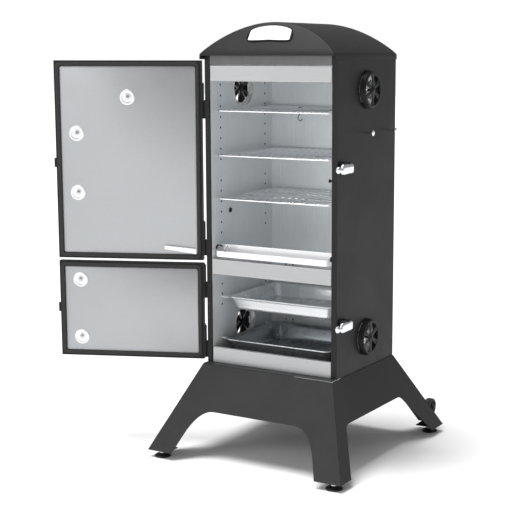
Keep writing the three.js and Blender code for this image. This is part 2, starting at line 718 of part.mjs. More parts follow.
// Door leaf on the edge of the door; joined to the door's skin.
function doorLeaf({ split, top }) {
  const plate = box([-DOOR.halfWidth - 2, DOOR.front + 2, split], [-DOOR.halfWidth + 0.2, PIVOT.y, top]);
  const knuckle = tube(PIVOT.bore, PIVOT.knuckle, split, top, 'z', [PIVOT.x, PIVOT.y, 0], 16);
  return cut(union(plate, knuckle), rod(PIVOT.bore, split - 1, top + 1, 'z', [PIVOT.x, PIVOT.y, 0], 16));
}

function hinges() {
  for (const hinge of HINGES) {
    addMesh(`hinge_${hinge.name}`, cabinetLeaf(hinge), FINISH.blackPaint);
  }
}

// ---- doors, drawn closed ------------------------------------------------
// Tab on the free edge that the latch catches, welded to the skin.
function keeper(z) {
  const w = DOOR.halfWidth;
  const outline = [
    [w - 0.2, -206.5], [w + 8, -206.5], [w + 10, -205.5], [w + 10, -202], [w + 8, -201], [w - 0.2, -201],
  ];
  return prism(outline, 'z', z - 14, z + 14);
}

function doorSkin(span, hinged, keeperHeight) {
  const w = DOOR.halfWidth;
  const wall = 1.5;
  const body = box([-w, DOOR.front, span.bottom], [w, DOOR.back, span.top]);
  const hollow = box(
    [-w + wall, DOOR.front + wall, span.bottom + wall],
    [w - wall, DOOR.back - wall, span.top - wall],
  );
  const lip = GASKET.inner + 0.3;
  const mouth = box([-w + lip, -205, span.bottom + lip], [w - lip, DOOR.back + 1, span.top - lip]);
  return union(cut(body, hollow, mouth), keeper(keeperHeight), ...hinged.map(doorLeaf));
}

// Inner panel with a round boss and nut over each fastener that comes through from outside.
function doorPanel(span, bosses) {
  const inset = GASKET.inner + 0.6;
  const w = DOOR.halfWidth - inset;
  const plate = box([-w, DOOR.back - 1.5, span.bottom + inset], [w, DOOR.back, span.top - inset]);
  const boss = ([x, z]) => turned(
    [[0, -1], [22, -1], [22, 0.5], [19, 1.5], [8, 1.5], [8, 5], [0, 5]], 'y', [x, DOOR.back, z], 16,
  );
  return union(plate, ...bosses.map(boss));
}

function doorGasket(span) {
  const ring = (inset, corner) => {
    const low = span.bottom + inset;
    const high = span.top - inset;
    return roundedRing(DOOR.halfWidth - inset, low, high, corner, 0, 3).map(([x, z]) => [x, z]);
  };
  const from = DOOR.back + GAP;
  return prism(ring(GASKET.outer, 10), 'y', from, from + GASKET.thickness, [ring(GASKET.inner, 5)]);
}

function doorHandle(z) {
  const half = HANDLE.spacing / 2;
  const out = DOOR.front - HANDLE.stand;
  const post = (height) => rod(6, out, DOOR.front - GAP, 'y', [HANDLE.x, 0, height], 14);
  const profile = [
    [0, -half - 26], [HANDLE.grip - 3, -half - 25], [HANDLE.grip, -half - 20], [HANDLE.grip, half + 20],
    [HANDLE.grip - 3, half + 25], [0, half + 26],
  ];
  const grip = turned(profile, 'z', [HANDLE.x, out, z], 20);
  return union(grip, post(z - half), post(z + half));
}

function thermometer() {
  const r = THERMOMETER.radius;
  const face = DOOR.front - 16;
  const profile = [
    [0, face + 3], [r - 5, face + 3], [r - 4, face], [r - 1, face], [r, face + 3], [r - 3, DOOR.front - 4],
    [16, DOOR.front - 3], [16, DOOR.front - GAP], [0, DOOR.front - GAP],
  ];
  return turned(profile, 'y', [THERMOMETER.x, 0, THERMOMETER.z], 24);
}

// Shallow channel on the upper door that leads drips towards the cabinet.
function doorGutter() {
  const { from, to, bottom, height, rise, thin, depth } = GUTTER;
  const back = DOOR.back + GAP;
  const section = (x, low, high) => [
    [x, back, low], [x, back + depth, low], [x, back + depth, high], [x, back, high],
  ];
  return loft([section(from, bottom, bottom + height), section(to, bottom + rise, bottom + rise + thin)]);
}

function doors() {
  const middle = { upper: 880, lower: 430.5 };
  const spans = { upper: UPPER_DOOR, lower: LOWER_DOOR };
  for (const level of ['upper', 'lower']) {
    const span = spans[level];
    const z = middle[level];
    const half = HANDLE.spacing / 2;
    const bosses = [[HANDLE.x, z + half], [HANDLE.x, z - half]];
    if (level === 'upper') bosses.push([THERMOMETER.x, THERMOMETER.z]);
    const swing = new THREE.Group();
    swing.position.set(PIVOT.x, PIVOT.y, 0);
    swing.rotation.z = -THREE.MathUtils.degToRad(DOOR.openDegrees);
    object.add(swing);
    const closed = new THREE.Group();
    closed.position.set(-PIVOT.x, -PIVOT.y, 0);
    swing.add(closed);
    const hinged = HINGES.filter((hinge) => hinge.door === level);
    addMesh(`${level}_door_skin`, doorSkin(span, hinged, z), FINISH.blackPaint, closed);
    addMesh(`${level}_door_panel`, doorPanel(span, bosses), FINISH.doorPanel, closed);
    addMesh(`${level}_door_gasket`, doorGasket(span), FINISH.gasket, closed);
    addMesh(`${level}_door_handle`, doorHandle(z), FINISH.chrome, closed);
    if (level === 'upper') {
      addMesh('upper_door_thermometer', thermometer(), FINISH.dial, closed);
      addMesh('upper_door_gutter', doorGutter(), FINISH.brightBar, closed);
    }
  }
}

// ---- whole object -------------------------------------------------------
cabinetBody();
base();
dampers();
toolPegs();
latches();
probePort();
insideFittings();
hinges();
doors();

// Put the plan centre of the whole object's box on the origin; the floor stays at z = 0.
smoker.updateMatrixWorld(true);
const bounds = new THREE.Box3().setFromObject(smoker, true);
const middle = bounds.getCenter(new THREE.Vector3());
object.position.set(-middle.x, -middle.y, 0);

export default smoker;
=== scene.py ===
"""Finished look of the cabinet smoker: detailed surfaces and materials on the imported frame."""
import json
from math import cos, pi, radians, sin

import bmesh
import bpy
import numpy as np
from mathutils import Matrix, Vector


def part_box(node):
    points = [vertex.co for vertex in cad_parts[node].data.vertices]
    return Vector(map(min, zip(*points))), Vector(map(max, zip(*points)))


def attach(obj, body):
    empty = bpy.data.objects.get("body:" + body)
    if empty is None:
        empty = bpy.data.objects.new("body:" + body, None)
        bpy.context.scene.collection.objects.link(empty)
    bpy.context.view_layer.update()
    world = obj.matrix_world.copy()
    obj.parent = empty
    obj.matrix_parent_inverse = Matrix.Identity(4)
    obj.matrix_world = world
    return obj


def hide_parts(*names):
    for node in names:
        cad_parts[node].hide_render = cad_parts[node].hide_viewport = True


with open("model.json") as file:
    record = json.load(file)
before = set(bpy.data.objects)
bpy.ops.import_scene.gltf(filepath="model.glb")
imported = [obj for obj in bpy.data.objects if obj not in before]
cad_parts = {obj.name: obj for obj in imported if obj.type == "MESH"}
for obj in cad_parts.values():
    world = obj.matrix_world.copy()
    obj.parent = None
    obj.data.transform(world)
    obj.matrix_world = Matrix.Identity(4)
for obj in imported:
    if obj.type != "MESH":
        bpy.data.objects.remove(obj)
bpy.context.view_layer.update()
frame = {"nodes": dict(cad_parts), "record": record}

# ---- places taken from the frame ----------------------------------------
MM = 0.001
NODE_BODY = {node: body for body, nodes in frame["record"]["behaviour"]["bodies"].items() for node in nodes}
JOINTS = {joint["name"]: joint for joint in frame["record"]["behaviour"]["joints"]}


def span(node):
    """Lowest and highest corner of a CAD node, as arrays in metres."""
    low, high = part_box(node)
    return np.array(low), np.array(high)


SHELL_LOW, SHELL_HIGH = span("outer_shell")
# Plan centre of the cabinet at floor level: the drawing origin for every new piece.
ORIGIN = np.array([*((SHELL_LOW + SHELL_HIGH) / 2)[:2], 0.0])


def local_span(node):
    """A CAD node's corners in millimetres about the drawing origin."""
    low, high = span(node)
    return (low - ORIGIN) / MM, (high - ORIGIN) / MM


def centre_of(node):
    """Middle of a CAD node's box in millimetres about the drawing origin."""
    low, high = local_span(node)
    return (low + high) / 2


# ---- mesh making ---------------------------------------------------------
def grid_faces(rows, columns, close_rows=False, close_columns=True):
    """Quads of a rows by columns grid of points; either direction may run round to its start."""
    r = np.arange(rows if close_rows else rows - 1)
    c = np.arange(columns if close_columns else columns - 1)
    r, c = np.meshgrid(r, c, indexing="ij")
    r2, c2 = (r + 1) % rows, (c + 1) % columns
    return np.stack([r * columns + c, r * columns + c2, r2 * columns + c2, r2 * columns + c], -1).reshape(-1, 4)


def loft(rings):
    """Closed skin through matching rings of points; the first and last ring are closed with one face each."""
    rings = np.asarray(rings, float)
    rows, columns = rings.shape[:2]
    ends = [list(range(columns))[::-1], list(range((rows - 1) * columns, rows * columns))]
    return rings.reshape(-1, 3), grid_faces(rows, columns).tolist() + ends


def endless(rings):
    """Skin through rings of points whose last ring runs on into the first."""
    rings = np.asarray(rings, float)
    return rings.reshape(-1, 3), grid_faces(*rings.shape[:2], close_rows=True).tolist()


def circle(radius, sides):
    """Points at equal angles on a circle."""
    angle = 2 * pi * np.arange(sides) / sides
    return np.stack([radius * np.cos(angle), radius * np.sin(angle)], -1)


def turned(profile, axis, place, sides=48):
    """Surface of revolution: each profile point (radius, distance) becomes a circle about the axis. A profile
    that ends where it began makes a ring with no caps."""
    profile = np.asarray(profile, float)
    ring_shaped = np.allclose(profile[0], profile[-1])
    if ring_shaped:
        profile = profile[:-1]
    unit = circle(1.0, sides)
    radius = np.maximum(profile[:, 0], 1e-3)
    across = radius[:, None, None] * unit[None]
    along = np.repeat(profile[:, 1][:, None], sides, 1)
    order = {"x": lambda a, l: (l, a[..., 0], a[..., 1]), "y": lambda a, l: (a[..., 1], l, a[..., 0]),
             "z": lambda a, l: (a[..., 0], a[..., 1], l)}[axis]
    rings = np.stack(order(across, along), -1) + np.asarray(place, float)
    return endless(rings) if ring_shaped else loft(rings)


def turned_sideways(side, profile, place, sides):
    """Surface of revolution about X whose distances are measured outwards on the given side."""
    return turned([(radius, side * distance) for radius, distance in profile], "x", place, sides)


def sweep(path, section, closed=False):
    """Carries a flat section along a path: each ring stands square to the path's tangent, and the frame
    is turned as little as possible from one point to the next."""
    path = np.asarray(path, float)
    if closed:
        tangent = np.roll(path, -1, 0) - np.roll(path, 1, 0)
    else:
        tangent = np.gradient(path, axis=0)
    tangent /= np.linalg.norm(tangent, axis=1)[:, None]
    start = np.eye(3)[np.argmin(np.abs(tangent[0]))]
    sides = []
    side = start - tangent[0] * (start @ tangent[0])
    for t in tangent:
        side = side - t * (side @ t)
        side = side / np.linalg.norm(side)
        sides.append(side)
    sides = np.array(sides)
    ups = np.cross(tangent, sides)
    section = np.asarray(section, float)
    rings = path[:, None] + section[None, :, :1] * sides[:, None] + section[None, :, 1:] * ups[:, None]
    return endless(rings) if closed else loft(rings)


def rod(start, end, radius, sides=10):
    """Straight wire with ends slightly rounded over."""
    start, end = np.asarray(start, float), np.asarray(end, float)
    length = np.linalg.norm(end - start)
    steps = np.array([0, 0.25 * radius, length - 0.25 * radius, length]) / length
    path = start + (end - start) * steps[:, None]
    points, faces = sweep(path, circle(radius, sides))
    rings = points.reshape(4, sides, 3)
    for row in (0, 3):
        rings[row] = path[row] + (rings[row] - path[row]) * 0.72
    return rings.reshape(-1, 3), faces


def smooth_path(points, steps=8, closed=False):
    """Curve through the points: each stretch is a cubic whose end slopes follow the neighbouring points."""
    p = np.asarray(points, float)
    p = np.vstack([p[-1], p, p[:2]]) if closed else np.vstack([2 * p[0] - p[1], p, 2 * p[-1] - p[-2]])
    t = np.linspace(0, 1, steps, endpoint=False)[:, None]
    pieces = []
    for a, b, c, d in zip(p[:-3], p[1:-2], p[2:-1], p[3:]):
        pieces.append(0.5 * (2 * b + (c - a) * t + (2 * a - 5 * b + 4 * c - d) * t**2 +
                             (3 * b - a - 3 * c + d) * t**3))
    path = np.vstack(pieces)
    return path if closed else np.vstack([path, p[-2]])


def rounded_rectangle(x0, x1, y0, y1, corner, steps=8):
    """Rectangle whose corners are quarter circles."""
    left, right, near, far = x0 + corner, x1 - corner, y0 + corner, y1 - corner
    centres = [(right, far), (left, far), (left, near), (right, near)]
    quarter = np.linspace(0, pi / 2, steps)
    parts = []
    for number, (x, y) in enumerate(centres):
        angle = quarter + number * pi / 2
        parts.append(np.stack([x + corner * np.cos(angle), y + corner * np.sin(angle)], -1))
    return np.vstack(parts)


def level(outline, z):
    """Puts a flat outline at height z."""
    return np.column_stack([outline, np.full(len(outline), z)])


def rounded_oval(half, tall, power_across, power_up, sides):
    """Superellipse: cosine and sine of the angle, each raised to a power that keeps its sign."""
    angle = 2 * pi * np.arange(sides) / sides
    across = half * np.sign(np.cos(angle)) * np.abs(np.cos(angle)) ** power_across
    up = tall * np.sign(np.sin(angle)) * np.abs(np.sin(angle)) ** power_up
    return np.stack([across, up], -1)


def upright(outline, y):
    """Stands a flat outline on edge at depth y."""
    return np.column_stack([outline[:, 0], np.full(len(outline), y), outline[:, 1]])


def joined(*parts):
    """Several closed skins as one list of points and faces."""
    points, faces, start = [], [], 0
    for part_points, part_faces in parts:
        points.append(part_points)
        faces += [[index + start for index in face] for face in part_faces]
        start += len(part_points)
    return np.vstack(points), faces


def shade_softly(work, mesh, fold):
    """Shades every face softly except over edges that fold more sharply than an angle in degrees."""
    for face in work.faces:
        face.smooth = True
        face.material_index = 0
    for edge in work.edges:
        edge.smooth = len(edge.link_faces) == 2 and edge.calc_face_angle(0) < radians(fold)
    work.to_mesh(mesh)
    work.free()


def place_piece(name, mesh, material, body, replaces):
    """Object with its material, riding on its body and standing in for the CAD nodes it replaces."""
    mesh.materials.clear()
    mesh.materials.append(material)
    piece = bpy.data.objects.new(name, mesh)
    bpy.context.collection.objects.link(piece)
    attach(piece, body)
    if replaces:
        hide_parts(*replaces)
    return piece


def add_piece(name, skin, material, body, replaces=(), smooth=40, transform=None):
    """New piece from a skin: doubled points are joined and the faces are turned outwards."""
    points, faces = skin
    points = np.asarray(points, float)
    if transform is not None:
        points = transform(points)
    points = points * MM + ORIGIN
    mesh = bpy.data.meshes.new(name)
    mesh.from_pydata(points.tolist(), [], faces)
    mesh.validate()
    work = bmesh.new()
    work.from_mesh(mesh)
    bmesh.ops.remove_doubles(work, verts=work.verts, dist=1e-7)
    bmesh.ops.recalc_face_normals(work, faces=work.faces)
    shade_softly(work, mesh, smooth)
    place_piece(name, mesh, material, body, replaces)


def refined(node, material, edge=1.2, segments=2):
    """Copy of a CAD node with flat faces made whole and its folded edges rounded over."""
    fold = 35
    mesh = frame["nodes"][node].data.copy()
    work = bmesh.new()
    work.from_mesh(mesh)
    bmesh.ops.remove_doubles(work, verts=work.verts, dist=2e-6)
    bmesh.ops.dissolve_limit(work, angle_limit=radians(0.6), verts=work.verts, edges=work.edges)
    shade_softly(work, mesh, fold)
    piece = place_piece(f"{node}_finish", mesh, material, NODE_BODY[node], [node])
    bevel = piece.modifiers.new("rounded_edges", "BEVEL")
    bevel.width = edge * MM
    bevel.segments = segments
    bevel.limit_method = "ANGLE"
    bevel.angle_limit = radians(fold)
    bevel.harden_normals = True


# ---- shader groups -------------------------------------------------------
def linear(red, green, blue):
    """Display values from 0 to 255 as linear light."""
    values = np.array([red, green, blue]) / 255
    light = np.where(values <= 0.04045, values / 12.92, ((values + 0.055) / 1.055) ** 2.4)
    return (*light.tolist(), 1.0)


class Nodes:
    """Small helper that adds nodes to a tree and joins them."""

    def __init__(self, tree):
        self.tree = tree

    def add(self, kind, settings=None, **inputs):
        node = self.tree.nodes.new(kind)
        for key, value in (settings or {}).items():
            setattr(node, key, value)
        for key, value in inputs.items():
            self.feed(node, key, value)
        return node

    def feed(self, node, key, value):
        """Sets or links an input, which is named, or numbered as i0, i1 and so on."""
        numbered = key[0] == "i" and key[1:].isdigit()
        socket = node.inputs[int(key[1:]) if numbered else key.replace("_", " ")]
        if isinstance(value, bpy.types.NodeSocket):
            self.tree.links.new(value, socket)
        else:
            socket.default_value = value

    def noise(self, vector, scale, detail=4.0, roughness=0.6):
        values = {"Vector": vector, "Scale": scale, "Detail": detail, "Roughness": roughness}
        return self.add("ShaderNodeTexNoise", **values).outputs["Fac"]

    def math(self, operation, a, b=0.0):
        return self.add("ShaderNodeMath", {"operation": operation}, i0=a, i1=b).outputs[0]

    def times(self, a, b):
        return self.math("MULTIPLY", a, b)

    def plus(self, a, b):
        return self.math("ADD", a, b)

    def between(self, value, low, high):
        """One where the value lies between two bounds, else zero."""
        return self.times(self.math("GREATER_THAN", value, low), self.math("LESS_THAN", value, high))

    def spread(self, value, low, high, to_low=0.0, to_high=1.0):
        return self.add("ShaderNodeMapRange", i0=value, i1=low, i2=high, i3=to_low, i4=to_high).outputs[0]

    def mix(self, factor, a, b, blend="MIX"):
        settings = {"data_type": "RGBA", "blend_type": blend}
        return self.add("ShaderNodeMix", settings, i0=factor, i6=a, i7=b).outputs[2]

    def tinted(self, colour, tone):
        """Colour multiplied by a grey tone."""
        grey = self.add("ShaderNodeCombineColor", Red=tone, Green=tone, Blue=tone).outputs[0]
        return self.mix(1.0, colour, grey, "MULTIPLY")


def new_group(name, inputs, outputs):
    """Empty shader group with named number, colour or vector sockets."""
    kinds = {"number": "NodeSocketFloat", "colour": "NodeSocketColor", "vector": "NodeSocketVector"}
    tree = bpy.data.node_groups.new(name, "ShaderNodeTree")
    for label, kind, value in inputs:
        socket = tree.interface.new_socket(label, in_out="INPUT", socket_type=kinds[kind])
        if value is not None:
            socket.default_value = value
    for label, kind in outputs:
        tree.interface.new_socket(label, in_out="OUTPUT", socket_type=kinds[kind])
    nodes = Nodes(tree)
    return tree, nodes, nodes.add("NodeGroupInput").outputs, nodes.add("NodeGroupOutput")


def powder_coat_group():
    """Fine orange-peel of powder coat, cloudy unevenness, and grey dust lying in the low places."""
    tree, nodes, given, out = new_group(
        "powder_coat",
        [("Vector", "vector", None), ("Colour", "colour", (0.05, 0.05, 0.05, 1)), ("Dust", "number", 0.12)],
        [("Colour", "colour"), ("Roughness", "number"), ("Height", "number")],
    )
    peel = nodes.noise(given["Vector"], 900, 2, 0.5)
    grit = nodes.noise(given["Vector"], 2600, 2, 0.7)
    cloud = nodes.noise(given["Vector"], 9, 5, 0.62)
    speck = nodes.spread(nodes.noise(given["Vector"], 1700, 1, 0.5), 0.66, 0.74)
    tone = nodes.spread(cloud, 0.3, 0.7, 0.86, 1.16)
    toned = nodes.tinted(given["Colour"], tone)
    dusty = nodes.times(nodes.times(speck, given["Dust"]), cloud)
    nodes.feed(out, "Colour", nodes.mix(dusty, toned, (0.42, 0.42, 0.42, 1)))
    rough = nodes.plus(nodes.spread(cloud, 0.3, 0.7, -0.05, 0.06), nodes.spread(peel, 0.3, 0.7, -0.03, 0.03))
    nodes.feed(out, "Roughness", rough)
    nodes.feed(out, "Height", nodes.plus(nodes.times(peel, 0.7), nodes.times(grit, 0.3)))
    return tree


def brushed_group():
    """Grain drawn out along one direction: noise read from a squeezed vector, in two widths, with smears."""
    tree, nodes, given, out = new_group(
        "brushed_grain",
        [("Vector", "vector", None), ("Squeeze", "vector", (1.0, 1.0, 0.02)),
         ("Colour", "colour", (0.6, 0.6, 0.6, 1)), ("Stain", "number", 0.15),
         ("Stain Colour", "colour", (0.22, 0.19, 0.16, 1))],
        [("Colour", "colour"), ("Roughness", "number"), ("Height", "number")],
    )
    squeezed = {"i0": given["Vector"], "i1": given["Squeeze"]}
    drawn = nodes.add("ShaderNodeVectorMath", {"operation": "MULTIPLY"}, **squeezed).outputs[0]
    fine = nodes.noise(drawn, 1500, 3, 0.6)
    coarse = nodes.noise(drawn, 260, 4, 0.65)
    smear = nodes.noise(given["Vector"], 7, 5, 0.6)
    grain = nodes.plus(nodes.times(fine, 0.6), nodes.times(coarse, 0.4))
    tone = nodes.plus(nodes.spread(grain, 0.3, 0.7, 0.9, 1.08), nodes.spread(smear, 0.3, 0.7, -0.04, 0.04))
    toned = nodes.tinted(given["Colour"], tone)
    stained = nodes.times(nodes.spread(smear, 0.52, 0.75), given["Stain"])
    nodes.feed(out, "Colour", nodes.mix(stained, toned, given["Stain Colour"]))
    nodes.feed(out, "Roughness", nodes.plus(nodes.spread(grain, 0.3, 0.7, -0.07, 0.08),
                                            nodes.spread(smear, 0.3, 0.7, -0.05, 0.07)))
    nodes.feed(out, "Height", grain)
    return tree


def edge_wear_group():
    """Mask that is bright where a corner is tight: the gap between the true normal and a rounded one,
    broken up with noise."""
    tree, nodes, given, out = new_group(
        "edge_wear",
        [("Vector", "vector", None), ("Amount", "number", 0.5)],
        [("Mask", "number")],
    )
    rounded = nodes.add("ShaderNodeBevel", {"samples": 4}, Radius=1.6 * MM).outputs[0]
    true = nodes.add("ShaderNodeNewGeometry").outputs["Normal"]
    dot = nodes.add("ShaderNodeVectorMath", {"operation": "DOT_PRODUCT"}, i0=rounded, i1=true).outputs["Value"]
    corner = nodes.spread(dot, 0.985, 0.86)
    broken = nodes.spread(nodes.noise(given["Vector"], 160, 4, 0.7), 0.42, 0.62)
    nodes.feed(out, "Mask", nodes.times(nodes.times(corner, broken), given["Amount"]))
    return tree


GROUPS = {"powder": powder_coat_group(), "brushed": brushed_group(), "wear": edge_wear_group()}


# ---- materials -----------------------------------------------------------
BARE_STEEL = (0.33, 0.33, 0.34, 1)


def start_material(name, slot):
    """Material with its Principled shader and Object coordinates."""
    material = bpy.data.materials.new(name)
    material.use_nodes = True
    material["slot"] = slot
    nodes = Nodes(material.node_tree)
    shader = material.node_tree.nodes["Principled BSDF"]
    place = nodes.add("ShaderNodeTexCoord").outputs["Object"]
    return material, nodes, shader, place


def bump(nodes, shader, height, strength, distance):
    """Adds a bump to a shader; its distance is in millimetres."""
    nodes.feed(shader, "Normal", nodes.add(
        "ShaderNodeBump", Height=height, Strength=strength, Distance=distance * MM).outputs["Normal"])


def grouped(nodes, group, **inputs):
    """Node that holds one of the shared shader groups."""
    node = nodes.add("ShaderNodeGroup", {"node_tree": GROUPS[group]})
    for key, value in inputs.items():
        nodes.feed(node, key, value)
    return node


def painted(name, slot, colour, roughness, dust=0.12, wear=0.1):
    """Powder-coated steel: matt textured coat with bare metal showing on worn edges."""
    material, nodes, shader, place = start_material(name, slot)
    coat = grouped(nodes, "powder", Vector=place, Colour=colour, Dust=dust)
    worn = grouped(nodes, "wear", Vector=place, Amount=wear)
    nodes.feed(shader, "Base Color", nodes.mix(worn.outputs["Mask"], coat.outputs["Colour"], BARE_STEEL))
    nodes.feed(shader, "Roughness", nodes.plus(coat.outputs["Roughness"], roughness))
    shader.inputs["Specular IOR Level"].default_value = 0.2
    bump(nodes, shader, coat.outputs["Height"], 0.25, 0.12)
    return material


def brushed(name, slot, colour, roughness, squeeze, stain, metal=1.0):
    """Brushed sheet steel with grain along one direction and faint heat stains."""
    material, nodes, shader, place = start_material(name, slot)
    grain = grouped(nodes, "brushed", Vector=place, Squeeze=squeeze, Colour=colour, Stain=stain)
    nodes.feed(shader, "Base Color", grain.outputs["Colour"])
    nodes.feed(shader, "Roughness", nodes.plus(grain.outputs["Roughness"], roughness))
    shader.inputs["Metallic"].default_value = metal
    bump(nodes, shader, grain.outputs["Height"], 0.12, 0.05)
    return material


def polished(name, slot, colour, roughness):
    """Bright plating with faint smudges and hairline scratches."""
    material, nodes, shader, place = start_material(name, slot)
    smudge = nodes.noise(place, 60, 5, 0.65)
    scratch = nodes.spread(nodes.noise(place, 900, 2, 0.8), 0.6, 0.75)
    nodes.feed(shader, "Base Color", nodes.mix(nodes.times(smudge, 0.25), colour, (0.45, 0.45, 0.46, 1)))
    nodes.feed(shader, "Roughness", nodes.plus(nodes.spread(smudge, 0.35, 0.7, roughness, roughness + 0.14),
                                               nodes.times(scratch, 0.08)))
    shader.inputs["Metallic"].default_value = 1.0
    bump(nodes, shader, scratch, 0.06, 0.02)
    return material


def rubbery(name, slot, colour, roughness):
    """Dull rubber or moulded black plastic with a fine pebble and grey scuffs."""
    material, nodes, shader, place = start_material(name, slot)
    pebble = nodes.add("ShaderNodeTexVoronoi", Vector=place, Scale=500).outputs["Distance"]
    scuff = nodes.spread(nodes.noise(place, 45, 6, 0.7), 0.55, 0.75, 0, 0.25)
    nodes.feed(shader, "Base Color", nodes.mix(scuff, colour, (0.12, 0.12, 0.12, 1)))
    nodes.feed(shader, "Roughness", nodes.spread(scuff, 0, 0.25, roughness, roughness + 0.12))
    bump(nodes, shader, pebble, 0.2, 0.1)
    return material


def woven_seal(name, slot):
    """Woven seal: two crossed sets of ribs that run with the object's axes, over fuzzy noise."""
    material, nodes, shader, place = start_material(name, slot)
    wave = {"wave_type": "BANDS", "bands_direction": "DIAGONAL"}
    rib = nodes.add("ShaderNodeTexWave", wave, Vector=place, Scale=260, Distortion=1.5).outputs["Fac"]
    fuzz = nodes.noise(place, 700, 4, 0.7)
    weave = nodes.times(rib, fuzz)
    nodes.feed(shader, "Base Color", nodes.mix(weave, (0.012, 0.012, 0.012, 1), (0.075, 0.075, 0.072, 1)))
    nodes.feed(shader, "Roughness", nodes.spread(fuzz, 0.3, 0.7, 0.82, 0.98))
    bump(nodes, shader, weave, 0.5, 0.35)
    return material


def dial_face(name, slot, centre, normal_axis):
    """Off-white enamel with a ring of ticks and a coloured arc, both worked out from the angle and the
    distance about the dial's centre."""
    material, nodes, shader, place = start_material(name, slot)
    turn = {"Vector": place, "Location": centre, "Rotation": normal_axis}
    move = nodes.add("ShaderNodeMapping", {"vector_type": "TEXTURE"}, **turn)
    axes = nodes.add("ShaderNodeSeparateXYZ", Vector=move.outputs[0])
    radius = nodes.add("ShaderNodeVectorMath", {"operation": "LENGTH"}, i0=nodes.add(
        "ShaderNodeCombineXYZ", X=axes.outputs["X"], Y=0.0, Z=axes.outputs["Z"]).outputs[0]).outputs["Value"]
    angle = nodes.math("ARCTAN2", axes.outputs["X"], axes.outputs["Z"])
    phase = nodes.math("FRACT", nodes.times(angle, 36 / (2 * pi)))
    tick = nodes.math("LESS_THAN", phase, 0.22)
    band = nodes.between(radius, 24 * MM, 29 * MM)
    arc = nodes.between(radius, 17 * MM, 21 * MM)
    warm = nodes.times(arc, nodes.math("LESS_THAN", nodes.math("ABSOLUTE", angle), 0.9))
    speck = nodes.noise(place, 300, 3, 0.6)
    enamel = nodes.mix(nodes.spread(speck, 0.3, 0.7, 0, 0.08), (0.82, 0.81, 0.77, 1), (0.6, 0.58, 0.52, 1))
    marked = nodes.mix(warm, enamel, (0.35, 0.08, 0.04, 1))
    nodes.feed(shader, "Base Color", nodes.mix(nodes.times(tick, band), marked, (0.02, 0.02, 0.02, 1)))
    nodes.feed(shader, "Roughness", nodes.spread(speck, 0.3, 0.7, 0.3, 0.42))
    return material


ALONG_X, ALONG_Y, ALONG_Z = (0.03, 1, 1), (1, 0.03, 1), (1, 1, 0.03)
SHELL_PAINT = painted("shell_powder_coat", "black_paint", linear(32, 32, 33), 0.5, wear=0.05)
ROOF_PAINT = painted("roof_powder_coat", "roof_paint", linear(36, 36, 37), 0.5, wear=0.03)
# Lighter coat of the front header strip: a painted highlight that stands in for the sheen on the shell's front
# header.
HEADER_SHEEN_PAINT = painted("header_painted_sheen", "black_paint", linear(104, 104, 105), 0.3, dust=0.02, wear=0.0)
BASE_PAINT = painted("base_powder_coat", "base_paint", linear(46, 46, 47), 0.5, wear=0.08)
DAMPER_PAINT = painted("damper_enamel", "black_paint", linear(18, 18, 19), 0.42, dust=0.04, wear=0.12)
HINGE_PAINT = painted("hinge_enamel", "black_paint", linear(24, 24, 25), 0.42, dust=0.04, wear=0.15)
DARK_TRIM = painted("blackened_screws", "black_paint", linear(10, 10, 10), 0.45, dust=0.02, wear=0.2)
# Near-black coat of the discs in the rack holes: painted shade inside the holes.
HOLE_SHADE = painted("painted_hole_shade", "liner_steel", linear(22, 22, 22), 0.7, dust=0.05, wear=0.0)
LINER_STEEL = brushed("liner_brushed_steel", "liner_steel", linear(226, 229, 231), 0.42, ALONG_Z, stain=0.12,
                      metal=0.3)
BRIGHT_STEEL = brushed("bright_brushed_steel", "bright_steel", linear(238, 239, 240), 0.34, ALONG_X,
                       stain=0.04, metal=0.6)
BAR_STEEL = brushed("bar_brushed_steel", "bright_steel", linear(176, 177, 178), 0.4, ALONG_X, stain=0.04,
                    metal=0.7)
PAN_STEEL = brushed("water_pan_steel", "bright_steel", linear(222, 224, 226), 0.22, ALONG_Y, stain=0.06, metal=0.8)
FUEL_STEEL = brushed("fuel_pan_steel", "dark_steel", linear(178, 182, 185), 0.26, ALONG_Y, stain=0.2, metal=0.85)
DARK_STEEL = brushed("dark_plate_steel", "dark_steel", linear(60, 61, 62), 0.45, ALONG_Z, stain=0.2, metal=0.8)
DOOR_STEEL = brushed("door_satin_steel", "door_steel", linear(176, 178, 180), 0.5, ALONG_X, stain=0.03, metal=0.9)
CHROME = polished("polished_chrome", "chrome", linear(228, 229, 231), 0.1)
BOLT_STEEL = polished("bolt_zinc", "chrome", linear(200, 201, 204), 0.22)
RUBBER = rubbery("black_rubber", "rubber", (0.008, 0.008, 0.009, 1), 0.62)
SEAL = woven_seal("woven_door_seal", "gasket")
BADGE_PLATE = brushed("badge_satin_plate", "badge", linear(250, 250, 250), 0.4, ALONG_X, stain=0.0, metal=0.2)
BADGE_RIM = painted("badge_dark_rim", "black_paint", linear(20, 20, 20), 0.4, dust=0.02, wear=0.1)

# ---- cabinet -------------------------------------------------------------
ROOF_LOW, ROOF_HIGH = local_span("roof_cap")
SHEET = 2.0
# The gables stand upright below the spring line and lean back above it.
GABLE_FRONT, SPRING_LINE, GABLE_LEAN = -210.0, 1208.0, 0.6


